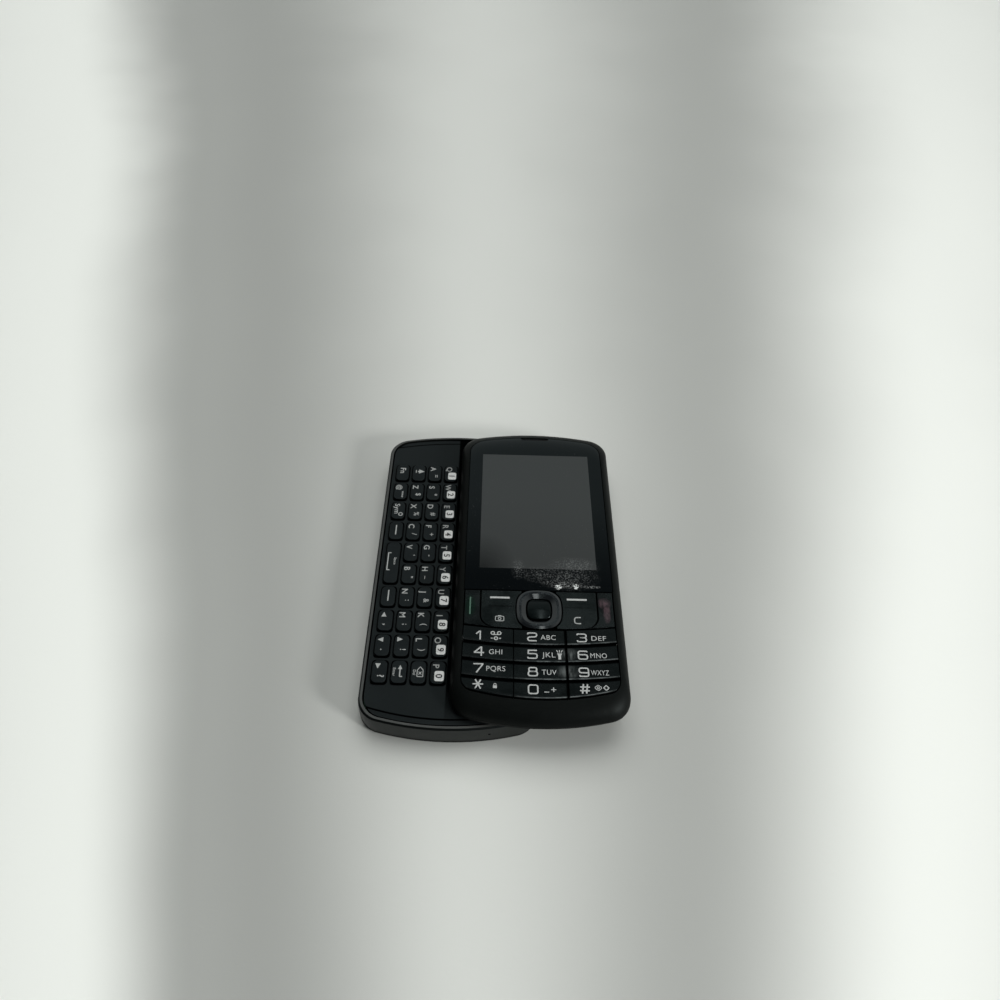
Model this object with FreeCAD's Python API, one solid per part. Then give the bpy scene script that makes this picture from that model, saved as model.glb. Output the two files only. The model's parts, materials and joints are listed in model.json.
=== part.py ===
import FreeCAD, Part
import math
import os

# Side-sliding phone with a keyboard deck, stored open.  Millimetres, +Z up.
# The origin is the centre of the flat back, where the phone rests.  +Y runs along the length
# towards the earpiece, and +X is the way the screen half slides to open.

Vector = FreeCAD.Vector

# ---------------------------------------------------------------- driving sizes, plan view
WIDTH = 52.0                  # both halves, side to side
LENGTH = 115.3                # the base, end to end
TOP_END_RADIUS = 95.0         # bow of the earpiece end
BOTTOM_END_RADIUS = 85.0      # bow of the chin end
CORNER_RADIUS = 7.5
SLIDE_TRAVEL = 26.3           # closed to open
SLIDER_TOP_SETBACK = 0.75     # the slider's ends stop this much short of the base's
SLIDER_CHIN_SETBACK = 0.45

# ---------------------------------------------------------------- clearances
SEAM = 0.1                    # between fixed shells
FIT = 0.15                    # round a part that sits in a pocket
KEY_GAP = 0.2                 # round a key in its opening
SLIDE_GAP = 0.15              # keyboard keys to the underside of the slider
RUNNING_GAP = 0.1             # moving plate in its guides
STOP_GAP = 0.3                # end stops of the slide
KEY_REST_GAP = 0.3            # key to the pad of its mat, taken up in a press
PAST = 1.0                    # how far a cutting tool runs past the face it opens
SAME = 0.0001                 # lengths that differ by less count as equal

# ---------------------------------------------------------------- base heights and walls
COVER_WALL = 1.1
BACK_WALL = 1.2
BACK_EDGE_HEIGHT = 2.2        # rounded edge of the back, below the band
BACK_EDGE_INSET = 2.2
BACK_EDGE_STEPS = 3
BAND_FOOT_INSET = 0.1
BAND_TOP_INSET = 0.15
BAND_BULGE_HEIGHT = 3.0
RIM_CHAMFER = 0.5
RIM_WALL = 1.3
RIM_LIP = 0.15                # band above the deck
BATTERY_THICKNESS = 4.2
BAY_CEILING = 0.7
BOARD_THICKNESS = 0.8
DOME_SHEET = 0.1
DOME_RISE = 0.1
MAT_WEB = 0.3
MAT_PAD = 0.3
KEY_FLANGE = 0.35
FLANGE_OVERHANG = 0.2
DECK_THICKNESS = 0.7
DECK_GROOVE = 0.5             # dark line between band and deck
DECK_SKIRT = 0.8              # wall that stands the deck on the main board
KEY_PROUD = 0.65              # keyboard keys above the deck

# ---------------------------------------------------------------- battery and its cover
BATTERY_SIDE_MARGIN = 9.0     # battery to the side of the phone
BATTERY_TOP_MARGIN = 48.65    # battery to the earpiece end
BATTERY_CHIN_MARGIN = 12.65
BATTERY_CORNER = 1.5
COVER_REACH = 19.0            # battery cover past the battery, over the card holder

# ---------------------------------------------------------------- keyboard
KEY_COLUMNS = 4
KEY_ROWS = 10
ROWS_BEFORE_SPACE = 4         # the space key takes the next two rows, in column 0
KEY_EDGE_MARGIN = 5.45        # first column's middle to the open edge
KEY_COVER_MARGIN = 3.69       # last column's middle to the slider's edge, open
KEY_TOP_MARGIN = 19.15        # first row's middle to the earpiece end
KEY_CHIN_MARGIN = 17.67
KEY_SIDE_LAND = 1.12          # deck between columns
KEY_END_LAND = 1.22           # deck between rows
KEY_CORNER = 1.6
KEY_EDGE_ROUND = 0.35
DECK_STEP = 0.3               # lowered crescents at both ends of the deck
DECK_STEP_TOP = 1.85          # width of the crescent at the middle of the top end
DECK_STEP_BOTTOM = 1.6
DECK_STEP_TOP_RADIUS = 100.0
DECK_STEP_BOTTOM_RADIUS = 82.0

# ---------------------------------------------------------------- slide mechanism
RAIL_PLATE = 0.5
SPRING_SPACE = 1.1            # room for the flex and the spring between the plates
MOVING_PLATE = 0.5
RAIL_END_MARGIN = 27.65       # moving plate to the base's ends
RAIL_WEB = 0.6
RAIL_LIP = 1.6                # how far a guide reaches over the plate
RAIL_LIP_THICKNESS = 0.5
GUIDE_MARGIN = 0.3
SLIDER_WALL = 1.6             # lower side walls, which stop the slide
MID_FLOOR_MARGIN = 0.15       # mid floor above the guide lips
FLEX_WIDTH = 12.0
FLEX_THICKNESS = 0.15
FLEX_SLOT_SIDE = 0.5          # slot longer than the flex at each end
FLEX_SLOT_WIDTH = 1.2
FLEX_END_MARGIN = 10.0        # flex to the lower end of the moving plate
FLEX_LOWER_MARGIN = 2.8       # lower slot to the rail plate's inner edge
FLEX_UPPER_MARGIN = 5.95      # upper slot to the moving plate's edge
FLEX_BEND_MARGIN = 6.1        # bend to the rail plate's outer edge
SPRING_WIRE = 0.5
SPRING_LOOP = 3.0             # radius of the spring's loop
SPRING_NECK = 0.6             # cosine of the angle at which the loop opens
SPRING_END_MARGIN = 6.0       # moving pin to the upper end of the moving plate
SPRING_SPAN = 16.0            # along the phone, between the spring's pins
PIN_RADIUS = 0.7

# ---------------------------------------------------------------- slider shell
SLIDER_EDGE_HEIGHT = 0.6      # small round along the lower edge
SLIDER_EDGE_INSET = 0.5
SIDE_ROUND = 3.0              # how far each rounding runs in from the widest line
TOP_ROUND = 13.0
CHIN_ROUND = 8.0
ROUND_STEPS = 6
FLOOR_ROUND_SHARE = 0.2       # share of an end rounding reached at the mid floor
PARTING_HEIGHT = 1.5          # split line of the two slider shells, above the underside
SHELL_WALL = 1.25
FACE_WALL = 1.6
KEY_CAP_HEIGHT = 1.9
WINDOW_THICKNESS = 0.8
WINDOW_SEAM = 0.3             # dark line round the window
WINDOW_SIDE_MARGIN = 3.2      # window to the slider's side
WINDOW_TOP_INSET = 4.3        # from the slider's top end
WINDOW_TOP_RADIUS = 88.0
WINDOW_CORNER = 6.5
WINDOW_LEDGE = 1.2
SLOT_TOP_HALF = 5.2           # earpiece slot
SLOT_BOTTOM_HALF = 4.5
SLOT_HEIGHT = 1.9             # from the outer edge of the seam at the window's top end

# ---------------------------------------------------------------- front keys
FIELD_SIDE_MARGIN = 3.4       # keys to the slider's side
FIELD_CHIN_MARGIN = 6.45      # keys to the slider's chin, at the middle
FIELD_BOTTOM_RADIUS = 80.0
FIELD_CORNER = 4.0
FUNCTION_HEIGHT = 13.65       # band of keys round the ring
NUMBER_ROW_HEIGHTS = (5.5, 5.65, 5.65, 5.6)
ROW_RADIUS = 190.0
COLUMN_SPLIT = 7.77           # half of the middle column
KEY_LINE = 0.3                # gap between neighbouring front keys
CALL_KEY_WIDTH = 5.0          # call and end keys outside, function keys inside
FUNCTION_TIP = 1.6            # how far a function key wraps round the ring
FUNCTION_CORNER = 4.2
RING_ROW_MARGIN = 7.1         # ring's centre above the first number row
RING_HALF = 6.8
RING_SIDE_RADIUS = 18.0
RING_CORNER = 4.6
RING_CREST = 0.35
RING_BEVEL = 0.7
RING_DISH_HALF = 5.4
OK_HALF = 3.75
OK_SIDE_RADIUS = 12.0
OK_CORNER = 1.9
CAP_BACK_DROP = 0.45          # number keys slope up towards the chin
CAP_RIDGE = 0.12
CAP_RIDGE_BACK = 1.0
CAP_NOSE_DROP = 0.6
CAP_NOSE_PAST = 0.15          # the nose's curve runs on past the key's lower wall
CAP_EDGE_ROUND = 0.25
PIVOT_GAP = 0.05              # rocking key's rib to what it rocks on
PAD_RADIUS = 1.1              # pads and domes under the front keys

# ---------------------------------------------------------------- parts inside the base
CAMERA_SIZE = 8.6
CAMERA_CORNER = 0.5
CAMERA_X = -8.0
CAMERA_TOP_MARGIN = 13.65     # camera's middle to the earpiece end
CAMERA_BARREL_RADIUS = 2.6
CAMERA_WINDOW_RADIUS = 4.2
CAMERA_WINDOW_THICKNESS = 0.7
CAMERA_WINDOW_SUNK = 0.1
SPEAKER_LENGTH = 15.0
SPEAKER_WIDTH = 10.0
SPEAKER_HEIGHT = 3.2
SPEAKER_CORNER = 2.0
SPEAKER_X = 4.0
SPEAKER_TOP_MARGIN = 23.65
SPEAKER_HOLE_RADIUS = 0.5
SPEAKER_HOLE_PITCH = 2.0
SPEAKER_HOLE_ROWS = 3
SPEAKER_HOLE_COLUMNS = 5
MOTOR_RADIUS = 4.0
MOTOR_HEIGHT = 2.7
MOTOR_X = 5.0
MOTOR_CHIN_MARGIN = 6.95
MIC_SIZE = 3.0
MIC_HEIGHT = 1.1
MIC_X = 12.0
MIC_PORT_RADIUS = 0.45
SIM_WIDTH = 26.0
SIM_LENGTH = 15.0
SIM_THICKNESS = 1.1
SIM_WALL = 1.2                # between the bay and the card holder
SIM_RIM = 2.0                 # frame of the card holder round its opening
CONTACT_WIDTH = 8.0
CONTACT_DEPTH = 1.8
CONTACT_HEIGHT = 3.0
CONTACT_X = -10.0
BLADES = 3
BLADE_PITCH = 2.0
BLADE_WIDTH = 1.0
BLADE_LIFT = 0.6              # contact blade above and below its block's faces
CAN_HEIGHT = 2.4
CAN_CORNER = 0.6
LARGE_CAN_WIDTH = 30.0
LARGE_CAN_LENGTH = 14.0
SMALL_CAN_WIDTH = 9.0
SMALL_CAN_LENGTH = 10.0
SMALL_CAN_SIDE_MARGIN = 9.0
ANTENNA_LENGTH = 4.5
ANTENNA_THICKNESS = 1.0
ANTENNA_SIDE_MARGIN = 8.0     # antenna to the side of the phone
ANTENNA_JACK_GAP = 2.55
ANTENNA_TOP_MARGIN = 5.85
JACK_RADIUS = 1.78            # bore for a 3.5 mm plug
JACK_BODY = 4.9
JACK_LENGTH = 12.0
JACK_DEPTH = 11.0
JACK_SIDE_MARGIN = 9.0
JACK_MOUTH_GAP = 0.6          # from the bore to the wider way in through the walls
USB_WIDTH = 7.8
USB_HEIGHT = 2.9
USB_DEPTH = 5.4
USB_WALL = 0.35
USB_END_WALL = 1.0
USB_TONGUE_THICKNESS = 0.6
USB_TONGUE_SIDE = 2.0         # tongue to the socket's sides
USB_TOP_MARGIN = 33.65
SCREW_RADIUS = 0.7
SCREW_HEAD_RADIUS = 1.4
SCREW_HEAD_HEIGHT = 0.6
SCREW_HOLE_GAP = 0.1
SCREW_SIDE_MARGIN = 5.0
SCREW_TOP_MARGIN = 10.65
SCREW_SHOULDER_MARGIN = 21.65
SCREW_CHIN_MARGIN = 7.65
SCREW_CHIN_SIDE_MARGIN = 8.0
BOSS_RADIUS = 1.6
SLOT_IN_HEAD = 0.3

# ---------------------------------------------------------------- side keys of the base
SIDE_KEY_HEIGHT = 2.3
SIDE_KEY_PROUD = 0.5
SIDE_KEY_ROUND = 0.45
SIDE_FLANGE = 0.6
SIDE_FLANGE_OVERHANG = 0.6
SIDE_KEY_ROOM = 1.1           # depth of the pocket behind a side key's flange
ROCKER_LENGTH = 14.0
ROCKER_TOP_MARGIN = 49.65
ROCKER_SWING = 0.35           # how far each end of the rocker can move
CAMERA_KEY_LENGTH = 7.0
CAMERA_KEY_CHIN_MARGIN = 23.65

# ---------------------------------------------------------------- parts inside the slider
DISPLAY_SIDE_MARGIN = 2.8     # display to the window's edge
DISPLAY_TOP_MARGIN = 7.95
DISPLAY_BOTTOM_MARGIN = 5.05
DISPLAY_FRAME = 0.5
DISPLAY_GAP = 0.35
SLIDER_BOARD_SIDE_MARGIN = 2.0    # board to the edge of the key field
SLIDER_BOARD_TOP_MARGIN = 2.4
SLIDER_BOARD_CHIN_MARGIN = 1.3
SLIDER_SCREW_TOP_MARGIN = 16.9
SLIDER_SCREW_CHIN_MARGIN = 4.2
SLIDER_SCREW_CHIN_SIDE = 10.0
EARPIECE_LENGTH = 10.0
EARPIECE_WIDTH = 4.0
EARPIECE_HEIGHT = 1.0
EARPIECE_INSET = 4.8
MESH_DEPTH = 0.5
MESH_THICKNESS = 0.25

# ---------------------------------------------------------------- derived heights
Z_CHASSIS_LOW = COVER_WALL + FIT
Z_BAY_TOP = Z_CHASSIS_LOW + BATTERY_THICKNESS + FIT
Z_BOARD_LOW = Z_BAY_TOP + BAY_CEILING
Z_BOARD_TOP = Z_BOARD_LOW + BOARD_THICKNESS
Z_MAT_LOW = Z_BOARD_TOP + DOME_SHEET + DOME_RISE
Z_PAD_TOP = Z_MAT_LOW + MAT_WEB + MAT_PAD
Z_KEY_LOW = Z_PAD_TOP + KEY_REST_GAP
Z_DECK_LOW = Z_KEY_LOW + KEY_FLANGE + RUNNING_GAP
Z_DECK_TOP = Z_DECK_LOW + DECK_THICKNESS
Z_RIM = Z_DECK_TOP + RIM_LIP
Z_KEY_TOP = Z_DECK_TOP + KEY_PROUD
Z_SLIDER_LOW = Z_KEY_TOP + SLIDE_GAP
Z_RAIL_TOP = Z_DECK_TOP + RAIL_PLATE
Z_PLATE_LOW = Z_RAIL_TOP + SPRING_SPACE
Z_PLATE_TOP = Z_PLATE_LOW + MOVING_PLATE
Z_LIP_LOW = Z_PLATE_TOP + RUNNING_GAP
Z_LIP_TOP = Z_LIP_LOW + RAIL_LIP_THICKNESS
Z_MID_FLOOR = Z_LIP_TOP + MID_FLOOR_MARGIN
Z_SLIDER_BOARD_TOP = Z_MID_FLOOR + BOARD_THICKNESS
Z_FRONT_MAT_LOW = Z_SLIDER_BOARD_TOP + DOME_SHEET + DOME_RISE
Z_FRONT_WEB_TOP = Z_FRONT_MAT_LOW + MAT_WEB
Z_FRONT_PAD_TOP = Z_FRONT_WEB_TOP + MAT_PAD
Z_CAP_LOW = Z_FRONT_PAD_TOP + KEY_REST_GAP
Z_FRONT = Z_CAP_LOW + KEY_CAP_HEIGHT
Z_PARTING = Z_SLIDER_LOW + PARTING_HEIGHT
Z_DISPLAY_TOP = Z_FRONT - WINDOW_THICKNESS - DISPLAY_GAP
Z_SCREW_TIP = Z_DECK_LOW + DECK_THICKNESS / 3
Z_JACK = Z_BOARD_LOW - JACK_BODY / 2
Z_USB = Z_BOARD_LOW - USB_HEIGHT / 2 - FIT
Z_MIC = Z_BOARD_LOW - MIC_HEIGHT / 2
Z_SIDE_KEY = (Z_CHASSIS_LOW + Z_BOARD_LOW) / 2 + FIT

# ---------------------------------------------------------------- derived places, base
HALF_WIDTH = WIDTH / 2
HALF_LENGTH = LENGTH / 2
BLOCK_INSET = RIM_WALL + SEAM
BLOCK_HALF_WIDTH = HALF_WIDTH - BLOCK_INSET
BATTERY_HALF_WIDTH = HALF_WIDTH - BATTERY_SIDE_MARGIN
BATTERY_TOP_Y = HALF_LENGTH - BATTERY_TOP_MARGIN
BAY_BOTTOM_Y = BATTERY_CHIN_MARGIN - HALF_LENGTH
COVER_SPLIT_Y = BATTERY_TOP_Y + COVER_REACH
SIM_LOW_Y = BATTERY_TOP_Y + FIT + SIM_WALL
SIM_HIGH_Y = SIM_LOW_Y + SIM_LENGTH
CAMERA_Y = HALF_LENGTH - CAMERA_TOP_MARGIN
SPEAKER_Y = HALF_LENGTH - SPEAKER_TOP_MARGIN
MOTOR_Y = MOTOR_CHIN_MARGIN - HALF_LENGTH
MIC_Y = BLOCK_INSET + MIC_SIZE - HALF_LENGTH
USB_Y = HALF_LENGTH - USB_TOP_MARGIN
JACK_X = HALF_WIDTH - JACK_SIDE_MARGIN
ROCKER_Y = HALF_LENGTH - ROCKER_TOP_MARGIN
CAMERA_KEY_Y = CAMERA_KEY_CHIN_MARGIN - HALF_LENGTH
KEY_COLUMN_PITCH = (SLIDE_TRAVEL - KEY_EDGE_MARGIN - KEY_COVER_MARGIN) / (KEY_COLUMNS - 1)
KEY_ROW_PITCH = (LENGTH - KEY_TOP_MARGIN - KEY_CHIN_MARGIN) / (KEY_ROWS - 1)
KEY_WIDTH = KEY_COLUMN_PITCH - KEY_SIDE_LAND
KEY_LENGTH = KEY_ROW_PITCH - KEY_END_LAND
SPACE_LENGTH = KEY_LENGTH + KEY_ROW_PITCH

# ---------------------------------------------------------------- derived places, slide
RAIL_HALF_SPAN = HALF_LENGTH - RAIL_END_MARGIN
PLATE_HALF_WIDTH = HALF_WIDTH - SLIDER_WALL - FIT
GUIDE_X_HIGH = HALF_WIDTH - SLIDER_WALL - STOP_GAP
GUIDE_X_LOW = SLIDE_TRAVEL - GUIDE_X_HIGH
GUIDE_OUTER_Y = RAIL_HALF_SPAN + RUNNING_GAP + RAIL_WEB
GUIDE_INNER_Y = RAIL_HALF_SPAN - RAIL_LIP
FLEX_Y = FLEX_END_MARGIN - RAIL_HALF_SPAN
FLEX_LOWER_X = GUIDE_X_LOW + FLEX_LOWER_MARGIN
FLEX_BEND_X = GUIDE_X_HIGH - FLEX_BEND_MARGIN
FLEX_UPPER_X = FLEX_UPPER_MARGIN - PLATE_HALF_WIDTH    # in the slider
SPRING_FIXED_X = SLIDE_TRAVEL / 2
SPRING_MOVING_Y = RAIL_HALF_SPAN - SPRING_END_MARGIN
SPRING_FIXED_Y = SPRING_MOVING_Y - SPRING_SPAN
OPEN = Vector(SLIDE_TRAVEL, 0, 0)

# ---------------------------------------------------------------- derived places, slider
SLIDER_TOP_Y = HALF_LENGTH - SLIDER_TOP_SETBACK
SLIDER_BOTTOM_Y = SLIDER_CHIN_SETBACK - HALF_LENGTH
FIELD_HALF_WIDTH = HALF_WIDTH - FIELD_SIDE_MARGIN
FIELD_BOTTOM_Y = SLIDER_BOTTOM_Y + FIELD_CHIN_MARGIN
ROW_LINES = [FIELD_BOTTOM_Y + sum(NUMBER_ROW_HEIGHTS[row:]) for row in range(len(NUMBER_ROW_HEIGHTS) + 1)]
FIELD_TOP_Y = ROW_LINES[0] + FUNCTION_HEIGHT
CALL_SPLIT = FIELD_HALF_WIDTH - CALL_KEY_WIDTH
RING_CENTRE_Y = ROW_LINES[0] + RING_ROW_MARGIN
RING_HOLE_HALF = OK_HALF + KEY_LINE
WINDOW_HALF_WIDTH = HALF_WIDTH - WINDOW_SIDE_MARGIN
WINDOW_TOP_Y = SLIDER_TOP_Y - WINDOW_TOP_INSET
WINDOW_BOTTOM_Y = FIELD_TOP_Y + KEY_LINE
DISPLAY_HALF_WIDTH = WINDOW_HALF_WIDTH - DISPLAY_SIDE_MARGIN
DISPLAY_TOP_Y = WINDOW_TOP_Y - DISPLAY_TOP_MARGIN
DISPLAY_BOTTOM_Y = WINDOW_BOTTOM_Y + DISPLAY_BOTTOM_MARGIN
SLIDER_BOARD_HALF_WIDTH = FIELD_HALF_WIDTH - SLIDER_BOARD_SIDE_MARGIN
SLIDER_BOARD_TOP_Y = WINDOW_BOTTOM_Y + SLIDER_BOARD_TOP_MARGIN
SLIDER_BOARD_BOTTOM_Y = FIELD_BOTTOM_Y + SLIDER_BOARD_CHIN_MARGIN


# ================================================================ shared shapes
def arc(start, middle, end):
    return Part.Arc(start, middle, end).toShape()


def arc_about(centre, radius, angle_from, angle_to, z):
    """Arc edge between two directions, in radians, about a centre in the plan."""
    def at(angle):
        return Vector(centre[0] + radius * math.cos(angle), centre[1] + radius * math.sin(angle), z)
    return arc(at(angle_from), at((angle_from + angle_to) / 2), at(angle_to))


def bowed_outline(half_width, top, bottom, corner, z, top_radius, bottom_radius):
    """Straight sides, bowed ends and round corners, as eight edges in a wire."""
    top_centre = top - top_radius
    bottom_centre = bottom + bottom_radius
    corner_x = half_width - corner
    top_corner_y = top_centre + math.sqrt((top_radius - corner) ** 2 - corner_x ** 2)
    bottom_corner_y = bottom_centre - math.sqrt((bottom_radius - corner) ** 2 - corner_x ** 2)
    top_angle = math.atan2(top_corner_y - top_centre, corner_x)
    bottom_angle = math.atan2(bottom_corner_y - bottom_centre, corner_x)
    right_low = Vector(half_width, bottom_corner_y, z)
    right_high = Vector(half_width, top_corner_y, z)
    left_high = Vector(-half_width, top_corner_y, z)
    left_low = Vector(-half_width, bottom_corner_y, z)
    edges = [
        Part.LineSegment(right_low, right_high).toShape(),
        arc_about((corner_x, top_corner_y), corner, 0, top_angle, z),
        arc_about((0, top_centre), top_radius, top_angle, math.pi - top_angle, z),
        arc_about((-corner_x, top_corner_y), corner, math.pi - top_angle, math.pi, z),
        Part.LineSegment(left_high, left_low).toShape(),
        arc_about((-corner_x, bottom_corner_y), corner, math.pi, math.pi - bottom_angle, z),
        arc_about((0, bottom_centre), bottom_radius, -math.pi - bottom_angle, bottom_angle, z),
        arc_about((corner_x, bottom_corner_y), corner, bottom_angle, 0, z),
    ]
    return Part.Wire(edges)


def squircle(centre_y, half, side_radius, corner, z):
    """Square of four slightly bowed sides and four round corners."""
    reach = side_radius - half
    offset = (math.sqrt(2 * (side_radius - corner) ** 2 - reach ** 2) - reach) / 2
    half_turn = math.atan2(offset, offset + reach)
    edges = []
    for quarter in range(4):
        turn = quarter * math.pi / 2
        side_centre = (-reach * math.cos(turn), centre_y - reach * math.sin(turn))
        edges.append(arc_about(side_centre, side_radius, turn - half_turn, turn + half_turn, z))
        diagonal = turn + math.pi / 4
        corner_reach = offset * math.sqrt(2)
        corner_centre = (corner_reach * math.cos(diagonal), centre_y + corner_reach * math.sin(diagonal))
        edges.append(arc_about(corner_centre, corner, turn + half_turn, turn + math.pi / 2 - half_turn, z))
    return Part.Wire(edges)


def prism(wire, height):
    return Part.Face(wire).extrude(Vector(0, 0, height))


def block(x_low, x_high, y_low, y_high, z_low, z_high):
    corner = Vector(x_low, y_low, z_low)
    return Part.makeBox(x_high - x_low, y_high - y_low, z_high - z_low, corner)


def centred_block(x, y, length_x, length_y, z_low, z_high):
    return block(x - length_x / 2, x + length_x / 2, y - length_y / 2, y + length_y / 2, z_low, z_high)


def post(x, y, radius, z_low, z_high):
    return Part.makeCylinder(radius, z_high - z_low, Vector(x, y, z_low))


def round_upright_edges(shape, radius):
    """Fillet the straight edges that stand along Z."""
    upright = [edge for edge in shape.Edges if edge.BoundBox.XLength < SAME and edge.BoundBox.YLength < SAME]
    return shape.makeFillet(radius, upright)


def round_top_edges(shape, radius):
    top = shape.BoundBox.ZMax
    chosen = [edge for edge in shape.Edges if edge.BoundBox.ZMin > top - SAME]
    return shape.makeFillet(radius, chosen)


def rounded_block(x, y, length_x, length_y, z_low, z_high, corner):
    return round_upright_edges(centred_block(x, y, length_x, length_y, z_low, z_high), corner)


def mirrored(shape):
    return shape.mirror(Vector(0, 0, 0), Vector(1, 0, 0))


# ================================================================ base shells
def base_outline(inset, z):
    return bowed_outline(HALF_WIDTH - inset, HALF_LENGTH - inset, inset - HALF_LENGTH,
                         CORNER_RADIUS - inset / 2, z, TOP_END_RADIUS - inset, BOTTOM_END_RADIUS - inset)


def base_prism(inset, z_low, z_high):
    return prism(base_outline(inset, z_low), z_high - z_low)


def back_form():
    """The rounded back of the base, solid, up to the seam under the band."""
    height = BACK_EDGE_HEIGHT - SEAM
    wires = []
    for step in range(BACK_EDGE_STEPS + 1):
        angle = step / BACK_EDGE_STEPS * math.pi / 2
        inset = BACK_EDGE_INSET * (1 - math.sin(angle))
        wires.append(base_outline(inset, height * (1 - math.cos(angle))))
    return Part.makeLoft(wires, True)


def inner_block(z_low, z_high):
    return base_prism(BLOCK_INSET, z_low, z_high)


def cover_side():
    """All of the space on the battery cover's side of its split line."""
    return block(-WIDTH, WIDTH, -LENGTH, COVER_SPLIT_Y, -PAST, BACK_EDGE_HEIGHT + PAST)


def base_frame():
    z_chamfer = Z_RIM - RIM_CHAMFER
    z_bulge = BACK_EDGE_HEIGHT + BAND_BULGE_HEIGHT
    wall = Part.makeLoft([base_outline(BAND_FOOT_INSET, BACK_EDGE_HEIGHT), base_outline(0, z_bulge),
                          base_outline(BAND_TOP_INSET, z_chamfer)], True)
    rim = Part.makeLoft([base_outline(BAND_TOP_INSET, z_chamfer),
                         base_outline(BAND_TOP_INSET + RIM_CHAMFER, Z_RIM)], True, True)
    band = wall.fuse(rim)
    tools = [base_prism(RIM_WALL, BACK_EDGE_HEIGHT - PAST, Z_RIM + PAST)]
    tools.append(side_key_opening(ROCKER_Y, ROCKER_LENGTH))
    tools.append(side_key_opening(CAMERA_KEY_Y, CAMERA_KEY_LENGTH))
    tools += [usb_opening(), jack_passage(), mic_port()]
    return band.cut(tools)


def rear_housing():
    fixed_back = back_form().cut(cover_side())
    body = fixed_back.fuse(inner_block(Z_CHASSIS_LOW, Z_BOARD_LOW))
    bay_half = BATTERY_HALF_WIDTH + FIT
    bay = block(-bay_half, bay_half, BAY_BOTTOM_Y - FIT, BATTERY_TOP_Y + FIT, 0, Z_BAY_TOP)
    tools = [bay, sim_pocket(), contact_pocket()]
    tools += [pocket_round(part, FIT) for part in (camera_body(), speaker_body(), mic_body())]
    tools += [pocket_round(part, FIT) for part in (antenna(), jack_body(), usb_body())]
    tools.append(post(MOTOR_X, MOTOR_Y, MOTOR_RADIUS + FIT, Z_BOARD_LOW - MOTOR_HEIGHT, Z_BOARD_LOW + PAST))
    tools += [pocket_round(can, FIT) for can in shield_cans().Solids]
    tools.append(post(CAMERA_X, CAMERA_Y, CAMERA_BARREL_RADIUS + FIT, -PAST, Z_BOARD_LOW))
    tools.append(post(CAMERA_X, CAMERA_Y, CAMERA_WINDOW_RADIUS + SEAM, -PAST, CAMERA_WINDOW_THICKNESS))
    tools += speaker_holes()
    tools += [side_key_pocket(ROCKER_Y, ROCKER_LENGTH), side_key_pocket(CAMERA_KEY_Y, CAMERA_KEY_LENGTH)]
    tools += [jack_passage(), mic_port()]
    for x, y, z_head in base_screw_places():
        tools.append(post(x, y, SCREW_RADIUS + SCREW_HOLE_GAP, -PAST, Z_BOARD_LOW + PAST))
        tools.append(post(x, y, SCREW_HEAD_RADIUS + SCREW_HOLE_GAP, -PAST, z_head + SCREW_HEAD_HEIGHT))
    return body.cut(tools)


def battery_cover():
    shell = back_form().common(cover_side())
    seam = block(-WIDTH, WIDTH, COVER_SPLIT_Y - SEAM, COVER_SPLIT_Y + PAST, -PAST, BACK_EDGE_HEIGHT)
    return shell.cut([seam, base_prism(BLOCK_INSET - SEAM - FIT, COVER_WALL, BACK_EDGE_HEIGHT + PAST)])


def pocket_round(part, gap):
    """Box pocket open upwards, a gap larger than the part that drops into it."""
    box = part.BoundBox
    return block(box.XMin - gap, box.XMax + gap, box.YMin - gap, box.YMax + gap,
                 box.ZMin, Z_BOARD_LOW + PAST)


# ================================================================ keyboard
def key_x(column):
    return KEY_EDGE_MARGIN - HALF_WIDTH + column * KEY_COLUMN_PITCH


def key_y(row):
    return HALF_LENGTH - KEY_TOP_MARGIN - row * KEY_ROW_PITCH


def space_place():
    """Centre and length of the space key."""
    y = (key_y(ROWS_BEFORE_SPACE) + key_y(ROWS_BEFORE_SPACE + 1)) / 2
    return key_x(0), y, SPACE_LENGTH


def row_places(column):
    """Centre and length of each key in one of the keyboard's four rows of letters."""
    taken = (ROWS_BEFORE_SPACE, ROWS_BEFORE_SPACE + 1) if column == 0 else ()
    return [(key_x(column), key_y(row), KEY_LENGTH) for row in range(KEY_ROWS) if row not in taken]


def key_places():
    places = [space_place()]
    for column in range(KEY_COLUMNS):
        places += row_places(column)
    return places


def keyboard_key(x, y, length):
    cap = rounded_block(x, y, KEY_WIDTH, length, Z_KEY_LOW, Z_KEY_TOP, KEY_CORNER)
    cap = round_top_edges(cap, KEY_EDGE_ROUND)
    grow = 2 * (KEY_GAP + FLANGE_OVERHANG)
    flange = rounded_block(x, y, KEY_WIDTH + grow, length + grow, Z_KEY_LOW, Z_KEY_LOW + KEY_FLANGE,
                           KEY_CORNER)
    return cap.fuse(flange)


def keyboard_row(column):
    return Part.makeCompound([keyboard_key(*place) for place in row_places(column)])


def space_key():
    return keyboard_key(*space_place())


def keyboard_area(margin, z_low, z_high):
    x_low = key_x(0) - KEY_WIDTH / 2 - margin
    x_high = key_x(KEY_COLUMNS - 1) + KEY_WIDTH / 2 + margin
    y_low = key_y(KEY_ROWS - 1) - KEY_LENGTH / 2 - margin
    y_high = key_y(0) + KEY_LENGTH / 2 + margin
    return block(x_low, x_high, y_low, y_high, z_low, z_high)


def qwerty_dome_sheet():
    sheet = keyboard_area(KEY_GAP, Z_BOARD_TOP, Z_BOARD_TOP + DOME_SHEET)
    domes = [post(x, y, KEY_WIDTH / 2 - KEY_GAP, Z_BOARD_TOP, Z_MAT_LOW) for x, y, length in key_places()]
    return sheet.fuse(domes)


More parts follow.
